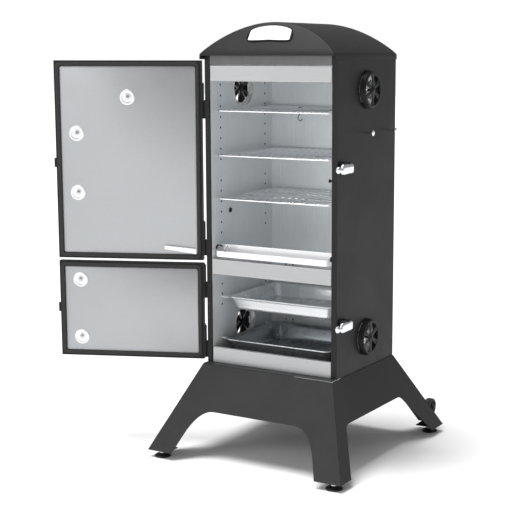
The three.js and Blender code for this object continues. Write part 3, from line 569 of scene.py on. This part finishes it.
def roof_cap():
    """Arched cap: each ring is a soft-cornered rectangle whose half width follows a circular arch above the
    spring line and whose ends lean back in proportion to the height above it. The rings run down inside,
    round the lip and up outside, so the sheet is one closed skin. The lip is cut higher along the front."""
    half, rise_top = ROOF_HIGH[0], ROOF_HIGH[2]
    front, rear, lip = ROOF_LOW[1], ROOF_HIGH[1], ROOF_LOW[2]
    spring = lip + 16
    bend = 2.2

    def rings(inset):
        w = half - inset
        rise = rise_top - inset - spring
        radius = (w * w + rise * rise) / (2 * rise)
        spread = np.arcsin(w / radius)
        angles = spread * (1 - np.linspace(0, 1, 30)[:-1] ** 0.9)
        widths = radius * np.sin(angles)
        heights = spring + rise - radius * (1 - np.cos(angles))
        fillet = [(w, spring - 5), (w - 0.4, spring - 2.2)]
        widths = widths - 1.3 * np.exp(-(heights - spring) / 3.0)
        levels = [(w, lip)] + fillet + list(zip(widths, heights))
        made = []
        for width, z in levels:
            lean = GABLE_LEAN * bend * np.log1p(np.exp((z - spring) / bend))
            corner = min(5.0, width * 0.45)
            outline = rounded_rectangle(-width, width, front + inset + lean, rear - inset - lean, corner, 6)
            ring = level(outline, z)
            at_front = ring[:, 1] < front + inset + lean + 1.0
            ring[at_front, 2] = np.maximum(ring[at_front, 2], lip + 10.5)
            made.append(ring)
        return made

    add_piece("roof_cap_skin", loft(rings(SHEET)[::-1] + rings(0)), ROOF_PAINT, "cabinet", ["roof_cap"], smooth=50)


def header_sheen_strip():
    """Lighter strip across the front of the shell, over the top crossbar: a soft-cornered rectangle, lofted. Its
    paint is a painted highlight for the sheen on the front header.
    """
    outline = rounded_rectangle(-205.5, 205.5, 1175.5, 1204, 3, 6)
    skin = loft([upright(outline, y) for y in (-183.8, -184.7)])
    add_piece("header_sheen_strip", skin, HEADER_SHEEN_PAINT, "cabinet")


def pan_head(place, axis, direction, radius, height):
    """Low domed screw head: its radius falls off as a quarter circle towards the top."""
    t = np.linspace(0, pi / 2, 7)
    profile = [(0, 0)] + [(radius * cos(a), direction * height * sin(a)) for a in t]
    return turned(profile, axis, place, 20)


def cabinet():
    """Sheet-metal pieces of the cabinet and its base."""
    refined("outer_shell", SHELL_PAINT, 1.4)
    refined("inner_liner", LINER_STEEL, 0.5, 1)
    roof_cap()
    header_sheen_strip()
    for name in ("crossbar_top", "crossbar_middle", "crossbar_bottom"):
        refined(name, BAR_STEEL, 1.2)
    refined("base_deck", BASE_PAINT, 1.0)
    for side in ("front", "rear", "left", "right"):
        refined(f"base_{side}", BASE_PAINT, 1.3)
    badge()
    hinge_leaves()


def badge():
    """Blank plate with a raised dark rim that follows its outline on the leaning gable."""
    refined("badge_plate", BADGE_PLATE, 0.5)
    low, high = local_span("badge_plate")
    half = high[0]
    bottom = low[2] + 1.0
    top = high[2] - 1.2
    x = np.array([-half, 0, half, half - 2, half * 0.55, 0, -half * 0.55, -half + 2])
    z = np.array([bottom, bottom, bottom, top - 13, top - 3.5, top, top - 3.5, top - 13])
    front = GABLE_FRONT + GABLE_LEAN * (z - SPRING_LINE) - 2.6
    path = smooth_path(np.stack([x, front, z], -1), 8, closed=True)
    add_piece("badge_rim", sweep(path, circle(1.3, 8), closed=True), BADGE_RIM, "cabinet")


def hinge_leaves():
    """Cabinet leaves with two low screw heads each, on the column's front."""
    heads = []
    for name in ("upper_top", "upper_bottom", "lower_top", "lower_bottom"):
        node = f"hinge_{name}"
        refined(node, HINGE_PAINT, 0.5)
        low, high = local_span(node)
        leaf_top = high[2] - 37.5
        for z in (low[2] + 12, leaf_top - 12):
            heads.append(pan_head((high[0] - 4.6, -186.4, z), "y", -1, 3.4, 0.4))
    add_piece("hinge_screws", joined(*heads), DARK_TRIM, "cabinet")


# ---- dampers -------------------------------------------------------------
def flat_plate(outline, holes, thickness, edge):
    """Sheet cut to an outline with holes, its edges rounded by a small round. Given and returned in the
    plate's own plane, with its thickness centred on it."""
    curve = bpy.data.curves.new("plate", "CURVE")
    curve.dimensions = "2D"
    curve.fill_mode = "BOTH"
    curve.extrude = thickness / 2 - edge
    curve.bevel_depth = edge
    curve.bevel_resolution = 1
    curve.offset = -edge
    for points in [outline, *holes]:
        spline = curve.splines.new("POLY")
        spline.points.add(len(points) - 1)
        spline.use_cyclic_u = True
        for point, (x, y) in zip(spline.points, points):
            point.co = (x, y, 0, 1)
    holder = bpy.data.objects.new("plate", curve)
    mesh = bpy.data.meshes.new_from_object(holder)
    points = np.empty(len(mesh.vertices) * 3)
    mesh.vertices.foreach_get("co", points)
    faces = [list(face.vertices) for face in mesh.polygons]
    bpy.data.objects.remove(holder)
    bpy.data.curves.remove(curve)
    return points.reshape(-1, 3), faces


def wedge_outline(middle, inner, outer, half_angle, corner):
    """Air opening between two radii, with its four corners rounded."""
    corners = [(inner, -half_angle * 0.8), (outer, -half_angle), (outer, half_angle), (inner, half_angle * 0.8)]
    points = []
    for radius, turn in corners:
        inward = corner if radius == inner else -corner
        across = corner / radius * (1 if turn < 0 else -1)
        ends = [np.array([radius, turn + across]), np.array([radius + inward, turn])]
        first, second = ends[::-1] if (radius == inner) == (turn > 0) else ends
        for share in np.linspace(0, 1, 5):
            bend = 2 * share * (1 - share) * np.array([radius, turn])
            r, a = (1 - share) ** 2 * first + bend + share**2 * second
            points.append((r * cos(middle + a), r * sin(middle + a)))
    return points


def stand_up(side, x):
    """Turns a plate drawn flat so that it faces along X on the given side."""
    return lambda p: np.stack([side * (x + p[:, 2]), side * p[:, 0], p[:, 1]], -1)


def damper(level_name, side_name):
    """Vented cap with a sloped rim that turns over a vented, sleeved duct; a star plate on the same axle
    works inside the duct."""
    side = -1 if side_name == "left" else 1
    rotor, duct = f"damper_rotor_{level_name}_{side_name}", f"damper_duct_{level_name}_{side_name}"
    low, high = local_span(rotor)
    z = centre_of(rotor)[2]
    base = (high[2] - low[2]) / 2
    face = max(abs(low[0]), abs(high[0])) - 3
    wall = min(abs(low[0]), abs(high[0]))
    edge = base - 6
    cap_holes = [wedge_outline(k * pi / 3, 15, edge - 5, 0.33, 3) for k in range(6)]
    plate, faces = flat_plate(circle(edge - 1.5, 96), cap_holes, 2.0, 0.5)
    cap = (stand_up(side, face - 2.4)(plate), faces)
    rim_points = [(base - 2, 227), (base - 0.5, 227), (base, 227.6), (base, 230), (base - 0.8, 232),
                  (edge + 2.4, face - 4), (edge + 1.2, face - 1.6), (edge - 0.6, face - 0.3), (edge - 2.4, face),
                  (edge - 4, face - 0.5), (edge - 4, face - 3.2), (edge - 1, face - 4.4), (base - 2.6, 231),
                  (base - 2, 227)]
    rim = turned_sideways(side, rim_points, (0, 0, 0), 96)
    hub_points = [(0, 238), (12, 239.5), (12, face - 1), (10, face + 0.2), (5, face + 0.8), (0, face + 0.8)]
    hub = turned_sideways(side, hub_points, (0, 0, 0), 40)
    star_points = []
    for k in range(6):
        for turn, r in ((-0.27, 11), (-0.25, 40), (-0.2, 44), (0, 45), (0.2, 44), (0.25, 40), (0.27, 11)):
            angle = (k + 0.5 + turn) * pi / 3
            star_points.append((r * cos(angle), r * sin(angle)))
    star, star_faces = flat_plate(star_points, [], 1.4, 0.3)
    star = (stand_up(side, wall + 2.8)(star), star_faces)
    axle = turned_sideways(side, [(0, wall), (4, wall), (4, 240), (0, 240)], (0, 0, 0), 24)

    def lift(p):
        return p + np.array([0, 0, z])

    add_piece(f"{rotor}_cap", joined(cap, rim, hub, axle), DAMPER_PAINT, rotor, [rotor], transform=lift)
    add_piece(f"{rotor}_star", star, DAMPER_PAINT, rotor, transform=lift)
    nut_points = [(0, face + 0.6), (5.6, face + 0.6), (5.6, face + 2), (4.2, face + 2.8), (0, face + 2.8)]
    add_piece(f"{rotor}_nut", turned_sideways(side, nut_points, (0, 0, z), 6), DAMPER_PAINT, rotor)
    tab_points = [(0, face - 2), (2.6, face - 2), (3.4, face + 1.6), (2.4, face + 2.8), (0, face + 2.9)]
    tab = turned_sideways(side, tab_points, (0, -edge + 3, z + 3), 20)
    add_piece(f"{rotor}_tab", tab, CHROME, rotor)
    fixed_holes = [wedge_outline(k * pi / 3, 16, 48, 0.27, 2.5) for k in range(6)]
    back, back_faces = flat_plate(circle(54.6, 72), fixed_holes, 1.4, 0.3)
    back = (stand_up(side, 222)(back), back_faces)
    bore, sleeve_outer = 54.8, 56.6
    sleeve_points = [(bore, 204.6), (58.5, 204.6), (58.5, 205.6), (sleeve_outer, 206), (sleeve_outer, 221),
                     (bore, 221), (bore, 204.6)]
    sleeve = turned_sideways(side, sleeve_points, (0, 0, 0), 96)
    add_piece(f"{duct}_sleeve", joined(back, sleeve), BRIGHT_STEEL, "cabinet", [duct], transform=lift)
    collar_points = [(bore, 221.2), (sleeve_outer, 221.2), (sleeve_outer, 225), (58.4, 225.2), (58.4, 226),
                     (bore, 226), (bore, 221.2)]
    add_piece(f"{duct}_collar", turned_sideways(side, collar_points, (0, 0, z), 96), DAMPER_PAINT, "cabinet")


# ---- fittings ------------------------------------------------------------
def latch(level_name):
    """Flattened lever with a disc at its tip. Every ring is a superellipse of its own half thickness and half
    height, set square to Y; the pin's head and the bracket are separate."""
    handle, bracket = f"latch_handle_{level_name}", f"latch_bracket_{level_name}"
    low, high = local_span(handle)
    x, z = 245.0, centre_of(handle)[2]
    tip, back = low[1], high[1]
    front = tip + 27
    stations = [(tip, 4.6, 6.5, 2), (tip + 0.7, 6.2, 9, 2), (tip + 2, 7, 10, 2), (tip + 8, 7, 10, 2),
                (tip + 9.4, 6, 8.6, 2), (tip + 10.4, 4.4, 6, 2), (tip + 12, 3.5, 4, 2), (front, 3.5, 4, 2),
                (front + 0.3, 5, 11.4, 2.8), (front + 1.4, 6.1, 13.6, 3), (front + 3, 6.5, 14.5, 3),
                (back - 4, 6.5, 14.5, 3), (back - 1.5, 5.8, 13.4, 3), (back - 0.4, 4.6, 11.6, 2.8),
                (back, 2.6, 8.6, 2.4)]
    rings = []
    for y, half, tall, power in stations:
        outline = rounded_oval(half, tall, 2 / power, 2 / power, 40)
        rings.append(upright(outline + (x, z), y))
    add_piece(f"{handle}_lever", loft(rings), CHROME, handle, [handle])
    refined(bracket, HINGE_PAINT, 0.6)
    pin_place = (x, local_span(bracket)[1][1] - 14, local_span(bracket)[1][2] - 1.5)
    head = turned([(0, 0), (4.2, 0), (4.2, 1), (3.2, 1.4), (0, 1.5)], "z", pin_place, 24)
    add_piece(f"{bracket}_pin_head", head, HINGE_PAINT, "cabinet")


def tool_peg(name):
    """Thin peg with a disc head whose edges are rounded."""
    low, high = local_span(name)
    _, y, z = centre_of(name)
    wall, end = low[0], high[0]
    profile = [(0, wall), (2.2, wall), (2.2, end - 4), (4, end - 3.4), (7.4, end - 3), (8.2, end - 2.3),
               (8.3, end - 1.2), (7.5, end - 0.2), (6, end), (0, end)]
    add_piece(f"{name}_turned", turned(profile, "x", (0, y, z), 40), CHROME, "cabinet", [name])


def probe_port():
    """Rubber grommet through the left wall."""
    low, high = local_span("probe_port")
    _, y, z = centre_of("probe_port")
    outer = (high[2] - low[2]) / 2
    profile = [(3, low[0] + 0.6), (outer - 1.5, low[0]), (outer, low[0] + 1.2), (outer, low[0] + 2.6),
               (outer - 2, low[0] + 3.1), (outer - 2, high[0] - 2.1), (outer, high[0] - 1.6),
               (outer - 0.6, high[0]),
               (3, high[0]), (3, low[0] + 0.6)]
    add_piece("probe_port_grommet", turned(profile, "x", (0, y, z), 40), RUBBER, "cabinet", ["probe_port"])


def foot(name):
    """Levelling foot: domed rubber pad, steel nut and threaded stem with a helical ridge seen as rings."""
    low, high = local_span(name)
    x, y, _ = centre_of(name)
    r = (high[0] - low[0]) / 2
    pad = [(0, 0), (r - 2.5, 0), (r - 0.6, 0.9), (r, 2.8), (r - 1, 4.6), (r - 4, 6.8), (12, 9.8), (9, 11), (0, 11)]
    add_piece(f"{name}_pad", turned(pad, "z", (x, y, 0), 56), RUBBER, name, [name])
    nut = turned([(0, 11), (9.2, 11), (10, 11.8), (10, 16.2), (9.2, 17), (0, 17)], "z", (x, y, 0), 6)
    ridge = [(4.3 + 0.6 * (k % 2), 17 + 0.9 * k) for k in range(30)]
    stem = turned([(0, 17)] + ridge + [(0, 43.5)], "z", (x, y, 0), 20)
    add_piece(f"{name}_stem", joined(nut, stem), BOLT_STEEL, name)


def wheel(side_name):
    """Small tyre on a dished hub, with grooves round its tread."""
    name = f"wheel_{side_name}"
    low, high = local_span(name)
    mid, y, z = centre_of(name)
    r, x0, x1 = (high[2] - low[2]) / 2, low[0], high[0]
    tread = [(r - 7, x0), (r - 2, x0 + 0.4), (r - 0.4, x0 + 2.6), (r, x0 + 5), (r - 1, x0 + 6), (r, x0 + 7),
             (r, mid), (r, x1 - 7), (r - 1, x1 - 6), (r, x1 - 5), (r - 0.4, x1 - 2.6), (r - 2, x1 - 0.4),
             (r - 7, x1), (r - 8, x1 - 2), (r - 9, mid), (r - 8, x0 + 2), (r - 7, x0)]
    add_piece(f"{name}_tyre", turned(tread, "x", (0, y, z), 64), RUBBER, name, [name])
    hub = [(5.4, x0 + 0.2), (11, x0 + 0.2), (13, x0 + 3), (r - 11, x0 + 4.2), (r - 8.6, x0 + 2.4), (r - 9.2, mid),
           (r - 8.6, x1 - 2.4), (r - 11, x1 - 4.2), (13, x1 - 3), (11, x1 - 0.2), (5.4, x1 - 0.2), (5.4, x0 + 0.2)]
    add_piece(f"{name}_hub", turned(hub, "x", (0, y, z), 64), DAMPER_PAINT, name)
    refined(f"wheel_bracket_{side_name}", BASE_PAINT, 0.8)


# ---- inside --------------------------------------------------------------
HOLE_COLUMNS = (-130.5, 123.5)


def wire_rack(name):
    """Wires front to back over a border wire and two cross wires; each wire's front end turns down to the
    lower front bar."""
    (x0, y0, _), (x1, y1, top) = local_span(name)
    count = 15
    pitch = (x1 - x0 - 6) / (count + 1)
    section = circle(1.75, 8)
    border = rounded_rectangle(x0 + 2.9, x1 - 2.9, y0 + 2.9, y1 - 2.9, 7, 6)
    dip = np.where(border[:, 1] < y0 + 12, 4.0, 0.6)
    parts = [sweep(np.column_stack([border, top - 2.9 - dip]), circle(2.9, 10), closed=True)]
    for k in range(count):
        x = x0 + 3 + (k + 1) * pitch
        path = [(x, y0 + 3.2, top - 5.0), (x, y0 + 6.5, top - 2.6), (x, y0 + 14, top - 1.8), (x, 0, top - 1.8),
                (x, y1 - 3, top - 1.8)]
        parts.append(sweep(path, section))
    for y in (y0 + 110, y0 + 220):
        parts.append(rod((x0 + 3, y, top - 5.6), (x1 - 3, y, top - 5.6), 2.3))
    add_piece(f"{name}_wires", joined(*parts), CHROME, name, [name], smooth=60)


def rack_support(name):
    """Bent wire that hooks into the wall holes at both sides and runs round the back, under the rack."""
    (_, y0, _), (x1, y1, z1) = local_span(name)
    z = z1 - 2.4
    inner = x1 - 12.5
    half = [(inner, y0 - 2), (inner, y0 + 30), (inner, y1 - 20), (inner - 12, y1 - 5)]
    points = [(-x, y) for x, y in half] + half[::-1]
    path = smooth_path([(x, y, z) for x, y in points], 6)
    parts = [sweep(path, circle(2.3, 10))]
    for side in (-1, 1):
        for y in HOLE_COLUMNS:
            hook = smooth_path([(side * inner, y, z), (side * (inner + 6), y, z + 0.4),
                                (side * (inner + 11), y, z),
                                (side * (inner + 16), y, z)], 4)
            parts.append(sweep(hook, circle(2.0, 8)))
    add_piece(f"{name}_wire", joined(*parts), BOLT_STEEL, "cabinet", [name], smooth=60)


def meat_hook():
    """S-shaped hook: a round wire along a curve with a loop above and a tip below."""
    y, z = centre_of("meat_hook")[1], 1045.0
    points = [(-4.3, -2.9), (-4.8, 1), (-2.9, 4.1), (2.4, 4.3), (4.8, 1), (4.3, -6), (0, -14), (-6, -24),
              (-7, -30), (-2, -36), (4, -35), (7.6, -30)]
    path = smooth_path([(across, y, z + up) for across, up in points], 8)
    add_piece("meat_hook_wire", sweep(path, circle(1.2, 10)), DARK_STEEL, "meat_hook", ["meat_hook"], smooth=60)


def pan(name, material, slope):
    """Pressed pan: soft-cornered rings run from the inside of the floor up the tapered wall, over a rolled
    rim and back down outside, so the sheet is one closed skin."""
    (x0, y0, z0), (x1, y1, z1) = local_span(name)
    drop = z1 - z0
    corner, flange, wall, fillet = 26, 8, 1.2, 6
    floor = flange + slope

    def ring(inset, z):
        radius = corner - 0.3 * inset
        return level(rounded_rectangle(x0 + inset, x1 - inset, y0 + inset, y1 - inset, radius, 8), z)

    inside = [ring(floor + fillet, z0 + wall), ring(floor + 2.2, z0 + wall + 0.9)]
    inside.append(ring(floor - 1, z0 + wall + fillet * 0.7))
    inside += [ring(flange + slope * (1 - t) + wall, z0 + wall + drop * t) for t in np.linspace(0.22, 0.9, 5)]
    rim = [ring(flange - 0.2, z1 - 0.9), ring(flange - 2, z1), ring(2.2, z1), ring(0.6, z1 - 0.7),
           ring(0, z1 - 1.9),
           ring(0.5, z1 - 3.0), ring(1.5, z1 - 2.2), ring(2.2, z1 - wall), ring(flange - 2.5, z1 - wall)]
    outside = [ring(flange + slope * (1 - t), z0 + drop * t) for t in np.linspace(0.9, 0.22, 5)]
    outside += [ring(floor - 2.2, z0 + fillet * 0.6), ring(floor + 1.6, z0 + 0.6), ring(floor + fillet, z0)]
    add_piece(f"{name}_pressed", loft(inside + rim + outside), material, name, [name], smooth=60)


def trough_end_fittings():
    """Small hook and clip at the trough's left end, and the round stop with its bright pin at the right end."""
    x, y, z = local_span("drip_trough")[0] + (0, 12, 17)
    hook = smooth_path([(x + 10, y, z), (x + 8, y, z + 11), (x + 18, y, z + 17), (x + 30, y, z + 14)], 8)
    add_piece("trough_hook", sweep(hook, circle(2.2, 10)), DAMPER_PAINT, "drip_trough", smooth=60)
    clip = smooth_path([(x + 38, y + 2, z), (x + 36, y, z + 11), (x + 46, y, z + 15), (x + 52, y + 2, z + 1)], 8)
    add_piece("trough_clip", sweep(clip, circle(2.4, 10)), BOLT_STEEL, "drip_trough", smooth=60)
    stop = turned([(0, 206.2), (7.4, 206.2), (8, 205.4), (8, 203), (7, 202), (0, 201.8)], "x",
                  (0, -178, z + 5), 32)
    add_piece("trough_stop", stop, DAMPER_PAINT, "cabinet")
    pin = turned([(0, 202), (3, 202), (3, 200.6), (2, 200), (0, 199.9)], "x", (0, -178, z + 5), 20)
    add_piece("trough_stop_pin", pin, BOLT_STEEL, "cabinet")


def liner_seams():
    """Upright half-round seams on the rear wall."""
    low, high = local_span("inner_liner")
    bottom, top = low[2] + 1, high[2] - 3
    rear = 165.0
    bead = circle(0.6, 8)
    parts = [sweep([(x, rear, bottom), (x, rear, top)], bead) for x in (-173.4, -3, 167)]
    add_piece("liner_seams", joined(*parts), LINER_STEEL, "cabinet", smooth=60)


def hole_shadows():
    """Thin dark discs seated in the rack holes: painted shade, so that the small holes read as holes."""
    heights = [1116.3 - 31.94 * row for row in range(15) if row != 8] + [510, 479, 447]
    parts = []
    for side in (-1, 1):
        for y in HOLE_COLUMNS:
            for z in heights:
                profile = [(0, side * 206.2), (3.2, side * 206.2), (3.2, side * 205.7), (0, side * 205.7)]
                parts.append(turned(profile[::-side], "x", (0, y, z), 12))
    add_piece("hole_shadows", joined(*parts), HOLE_SHADE, "cabinet", smooth=30)


def inside():
    """Racks, pans and the other pieces in the two compartments."""
    for place in ("top", "middle", "bottom"):
        wire_rack(f"rack_{place}")
        rack_support(f"rack_support_{place}")
    meat_hook()
    pan("pan_upper", PAN_STEEL, 17)
    pan("pan_lower", FUEL_STEEL, 22)
    refined("drip_trough", BRIGHT_STEEL, 0.6)
    trough_end_fittings()
    liner_seams()
    hole_shadows()
    stud = [(0, 206), (3, 206), (3, 196), (5, 195.6), (5.6, 194), (5.2, 192.4), (0, 192)]
    add_piece("catch_stud", turned(stud, "x", (0, -172, 850), 24), DAMPER_PAINT, "cabinet")


# ---- doors ---------------------------------------------------------------
DOOR_HALF, DOOR_BACK, DOOR_FRONT = 226.0, -190.0, -212.0
DOOR_SPAN = {"upper": (588.2, 1188.7), "lower": (281.2, 578.6)}
DOOR_HINGE = {level_name: JOINTS[f"{level_name}_door_hinge"] for level_name in ("upper", "lower")}
HANDLE_X = 160.0
DIAL_PLACE = (0.0, 1079.0)


def door_at_rest(level_name):
    """Turns points drawn on the closed door about its hinge to where the door stands open."""
    joint = DOOR_HINGE[level_name]
    pivot = (np.array(joint["pos_m"]) - ORIGIN) / MM
    angle = radians(joint["range_deg"][0])
    turn = np.array([[cos(angle), -sin(angle), 0], [sin(angle), cos(angle), 0], [0, 0, 1]])
    pivot[2] = 0
    return lambda p: (p - pivot) @ turn.T + pivot


def door_gasket(level_name, place):
    """Seal swept round the door: a flattened tube whose base is tucked against the lip."""
    bottom, top = DOOR_SPAN[level_name]
    middle = 11.0
    outline = rounded_rectangle(-DOOR_HALF + middle, DOOR_HALF - middle, bottom + middle, top - middle, 8, 8)
    path = upright(outline, DOOR_BACK + 1.7)
    across = outline - np.array([0, (bottom + top) / 2])
    spread_x, squash_y = rounded_oval(5.75, 1.45, 0.8, 0.7, 14).T
    tangent = np.roll(outline, -1, 0) - np.roll(outline, 1, 0)
    tangent /= np.linalg.norm(tangent, axis=1)[:, None]
    outward = np.stack([tangent[:, 1], -tangent[:, 0]], -1)
    outward *= np.sign((outward * across).sum(1))[:, None]
    depth = np.broadcast_to(squash_y, (len(path), len(squash_y)))
    flattened = np.stack([outward[:, None, 0] * spread_x, depth, outward[:, None, 1] * spread_x], -1)
    skin = endless(path[:, None] + flattened)
    name = f"{level_name}_door_gasket"
    add_piece(f"{name}_seal", skin, SEAL, f"{level_name}_door", [name], smooth=60, transform=place)


def door_panel(level_name, place, bosses):
    """Inner panel: a thin sheet with soft corners and a rolled edge, dished round each fastener."""
    bottom, top = DOOR_SPAN[level_name]
    inset = 17.2

    def ring(grow, y):
        edge, low, high = DOOR_HALF - inset + grow, bottom + inset - grow, top - inset + grow
        return upright(rounded_rectangle(-edge, edge, low, high, 7, 6), DOOR_BACK + y)

    name, body = f"{level_name}_door_panel", f"{level_name}_door"
    sheet = loft([ring(-1.2, -1.6), ring(0, -1.4), ring(0, -0.5), ring(-0.6, 0)])
    add_piece(f"{name}_sheet", sheet, DOOR_STEEL, body, [name], smooth=50, transform=place)
    dish = [(0, -1), (23, -1), (23, 0.3), (21.5, 1.6), (19.5, 1.9), (17, 1.2), (15, 0.6), (11, 0.8), (9.5, 1.5),
            (0, 1.6)]
    nut = [(0, 1), (8, 1), (8, 2), (7.2, 2.2), (6.6, 4.6), (5.6, 5.2), (0, 5.2)]
    for kind, profile, sides, material in (("dishes", dish, 56, BRIGHT_STEEL), ("nuts", nut, 6, BOLT_STEEL)):
        raised = [(radius, DOOR_BACK + rise) for radius, rise in profile]
        parts = [turned(raised, "y", (x, 0, z), sides) for x, z in bosses]
        add_piece(f"{name}_{kind}", joined(*parts), material, body, transform=place)


def door_handle(level_name, place, middle):
    """Bar handle on two waisted posts with flanges against the door."""
    half, out = 90.0, DOOR_FRONT - 42
    cap = [(10 * sin(a), -half - 16 - 10 * cos(a)) for a in np.linspace(0, pi / 2, 8)]
    bar = cap + [(10, -half), (10.4, -half + 4), (10.4, half - 4), (10, half)] + [(r, -h) for r, h in cap[::-1]]
    parts = [turned(bar, "z", (HANDLE_X, out, middle), 40)]
    posts = []
    for side in (-1, 1):
        profile = [(0, out), (6.2, out + 2), (5.2, out + 12), (5.2, DOOR_FRONT - 12), (6.5, DOOR_FRONT - 5),
                   (11, DOOR_FRONT - 2), (11, DOOR_FRONT - 0.1), (0, DOOR_FRONT - 0.1)]
        posts.append(turned(profile, "y", (HANDLE_X, 0, middle + side * half), 32))
    name = f"{level_name}_door_handle"
    add_piece(f"{name}_bar", joined(*parts, *posts), CHROME, f"{level_name}_door", [name], transform=place)


def thermometer(place):
    """Dial thermometer: a turned bezel round an enamel face, with a pointer on a boss."""
    (x, z), r = DIAL_PLACE, 38.0
    face = DOOR_FRONT - 16
    bezel = [(r - 8, face + 4), (r - 6.5, face + 1), (r - 5, face), (r - 1.6, face), (r, face + 2), (r, face + 5),
             (r - 2, DOOR_FRONT - 5), (r - 8, DOOR_FRONT - 2), (r - 8, face + 4)]
    body, node = "upper_door", "upper_door_thermometer"
    add_piece("thermometer_bezel", turned(bezel, "y", (x, 0, z), 72), CHROME, body, [node], transform=place)
    back = turned([(0, face + 4), (r - 7, face + 4), (r - 7, DOOR_FRONT - 2), (16, DOOR_FRONT - 1),
                   (0, DOOR_FRONT - 0.2)], "y", (x, 0, z), 56)
    centre = place(np.array([[x, face + 4, z]]))[0] * MM + ORIGIN
    enamel = dial_face("dial_enamel", "dial", tuple(centre), (0, 0, radians(DOOR_HINGE["upper"]["range_deg"][0])))
    add_piece("thermometer_dial", back, enamel, body, transform=place)
    tilt = radians(-38)
    along, across = np.array([sin(tilt), cos(tilt)]), np.array([cos(tilt), -sin(tilt)])
    outline = np.array([along * 24, across * 1.6 - along * 5, -across * 1.6 - along * 5])
    rings = [upright(outline + (x, z), y) for y in (face + 3.6, face + 2.8)]
    boss = turned([(0, face + 4), (3.4, face + 4), (3.4, face + 2.2), (2.4, face + 1.4), (0, face + 1.4)],
                  "y", (x, 0, z), 24)
    add_piece("thermometer_pointer", joined(loft(rings), boss), BADGE_RIM, body, transform=place)


def doors():
    """Pieces of both doors."""
    for level_name, middle in (("upper", 880.0), ("lower", 430.5)):
        place = door_at_rest(level_name)
        refined(f"{level_name}_door_skin", SHELL_PAINT, 1.0)
        bosses = [(HANDLE_X, middle + 90), (HANDLE_X, middle - 90)]
        if level_name == "upper":
            bosses.append(DIAL_PLACE)
        door_panel(level_name, place, bosses)
        door_gasket(level_name, place)
        door_handle(level_name, place, middle)
    refined("upper_door_gutter", BRIGHT_STEEL, 0.6)
    thermometer(door_at_rest("upper"))


cabinet()
for height in ("upper", "lower"):
    for hand in ("left", "right"):
        damper(height, hand)
    latch(height)
for end in ("front", "rear"):
    tool_peg(f"tool_peg_{end}")
probe_port()
for end in ("front", "rear"):
    for hand in ("left", "right"):
        foot(f"foot_{end}_{hand}")
for hand in ("left", "right"):
    wheel(hand)
inside()
doors()


# ---- floor, light and camera ---------------------------------------------
def floor():
    """Wide pale floor with a faint mottle."""
    corners = [(-30, -30, 0), (30, -30, 0), (30, 30, 0), (-30, 30, 0)]
    mesh = bpy.data.meshes.new("studio_floor")
    mesh.from_pydata(corners, [], [(0, 1, 2, 3)])
    material = bpy.data.materials.new("studio_floor")
    material.use_nodes = True
    nodes = Nodes(material.node_tree)
    shader = material.node_tree.nodes["Principled BSDF"]
    place = nodes.add("ShaderNodeTexCoord").outputs["Object"]
    mottle = nodes.noise(place, 3)
    nodes.feed(shader, "Base Color", nodes.mix(mottle, (0.93, 0.93, 0.93, 1), (0.96, 0.96, 0.96, 1)))
    shader.inputs["Roughness"].default_value = 0.9
    shader.inputs["Specular IOR Level"].default_value = 0.1
    mesh.materials.append(material)
    stage = bpy.data.objects.new("studio_floor", mesh)
    bpy.context.collection.objects.link(stage)


def softbox(name, place, target, size, power):
    """Square area light that faces its target."""
    data = bpy.data.lights.new(name, "AREA")
    data.shape = "RECTANGLE"
    data.size, data.size_y = size
    data.energy = power
    light = bpy.data.objects.new(name, data)
    bpy.context.collection.objects.link(light)
    light.location = place
    direction = np.array(target) - np.array(place)
    light.rotation_euler = look(direction)
    return light


def look(direction):
    """Euler turn that points an object's -Z along a direction with its Y up."""
    from mathutils import Vector
    return Vector(direction).to_track_quat("-Z", "Y").to_euler()


def lights():
    """Dim even surroundings that the camera sees as pure white, a soft sun from the front left, and two boxes."""
    world = bpy.data.worlds.new("studio")
    bpy.context.scene.world = world
    world.use_nodes = True
    tree = world.node_tree
    lit = tree.nodes["Background"]
    lit.inputs["Color"].default_value = (1, 1, 1, 1)
    lit.inputs["Strength"].default_value = 0.35
    seen = tree.nodes.new("ShaderNodeBackground")
    seen.inputs["Color"].default_value = (1, 1, 1, 1)
    seen.inputs["Strength"].default_value = 1.0
    path = tree.nodes.new("ShaderNodeLightPath")
    both = tree.nodes.new("ShaderNodeMixShader")
    tree.links.new(path.outputs["Is Camera Ray"], both.inputs[0])
    tree.links.new(lit.outputs[0], both.inputs[1])
    tree.links.new(seen.outputs[0], both.inputs[2])
    tree.links.new(both.outputs[0], tree.nodes["World Output"].inputs["Surface"])
    sun = bpy.data.lights.new("sun", "SUN")
    sun.energy = 3.4
    sun.angle = radians(32)
    lamp = bpy.data.objects.new("sun", sun)
    bpy.context.collection.objects.link(lamp)
    lamp.rotation_euler = look((0.22, 0.14, -1.0))
    cx, cy = ORIGIN[:2]
    softbox("key", (cx - 2.6, cy - 4.2, 2.4), (cx, cy, 0.7), (2.4, 2.4), 50)
    fill = softbox("front_fill", (cx + 0.6, cy - 3.4, 1.3), (cx, cy, 0.75), (1.6, 1.8), 14)
    fill.visible_glossy = False


def camera():
    """Three-quarter view from the front right, a little above the middle of the cabinet."""
    data = bpy.data.cameras.new("camera")
    data.sensor_width = 36
    data.lens = 87.55
    data.shift_x = -0.078
    view = bpy.data.objects.new("camera", data)
    bpy.context.collection.objects.link(view)
    view.location = ORIGIN + np.array([1.9245, -3.3122, 1.2049])
    yaw, pitch = radians(30.22), radians(9.21)
    view.rotation_euler = look((-sin(yaw) * cos(pitch), cos(yaw) * cos(pitch), -sin(pitch)))
    bpy.context.scene.camera = view


floor()
lights()
camera()
bpy.context.scene.view_settings.view_transform = "Standard"
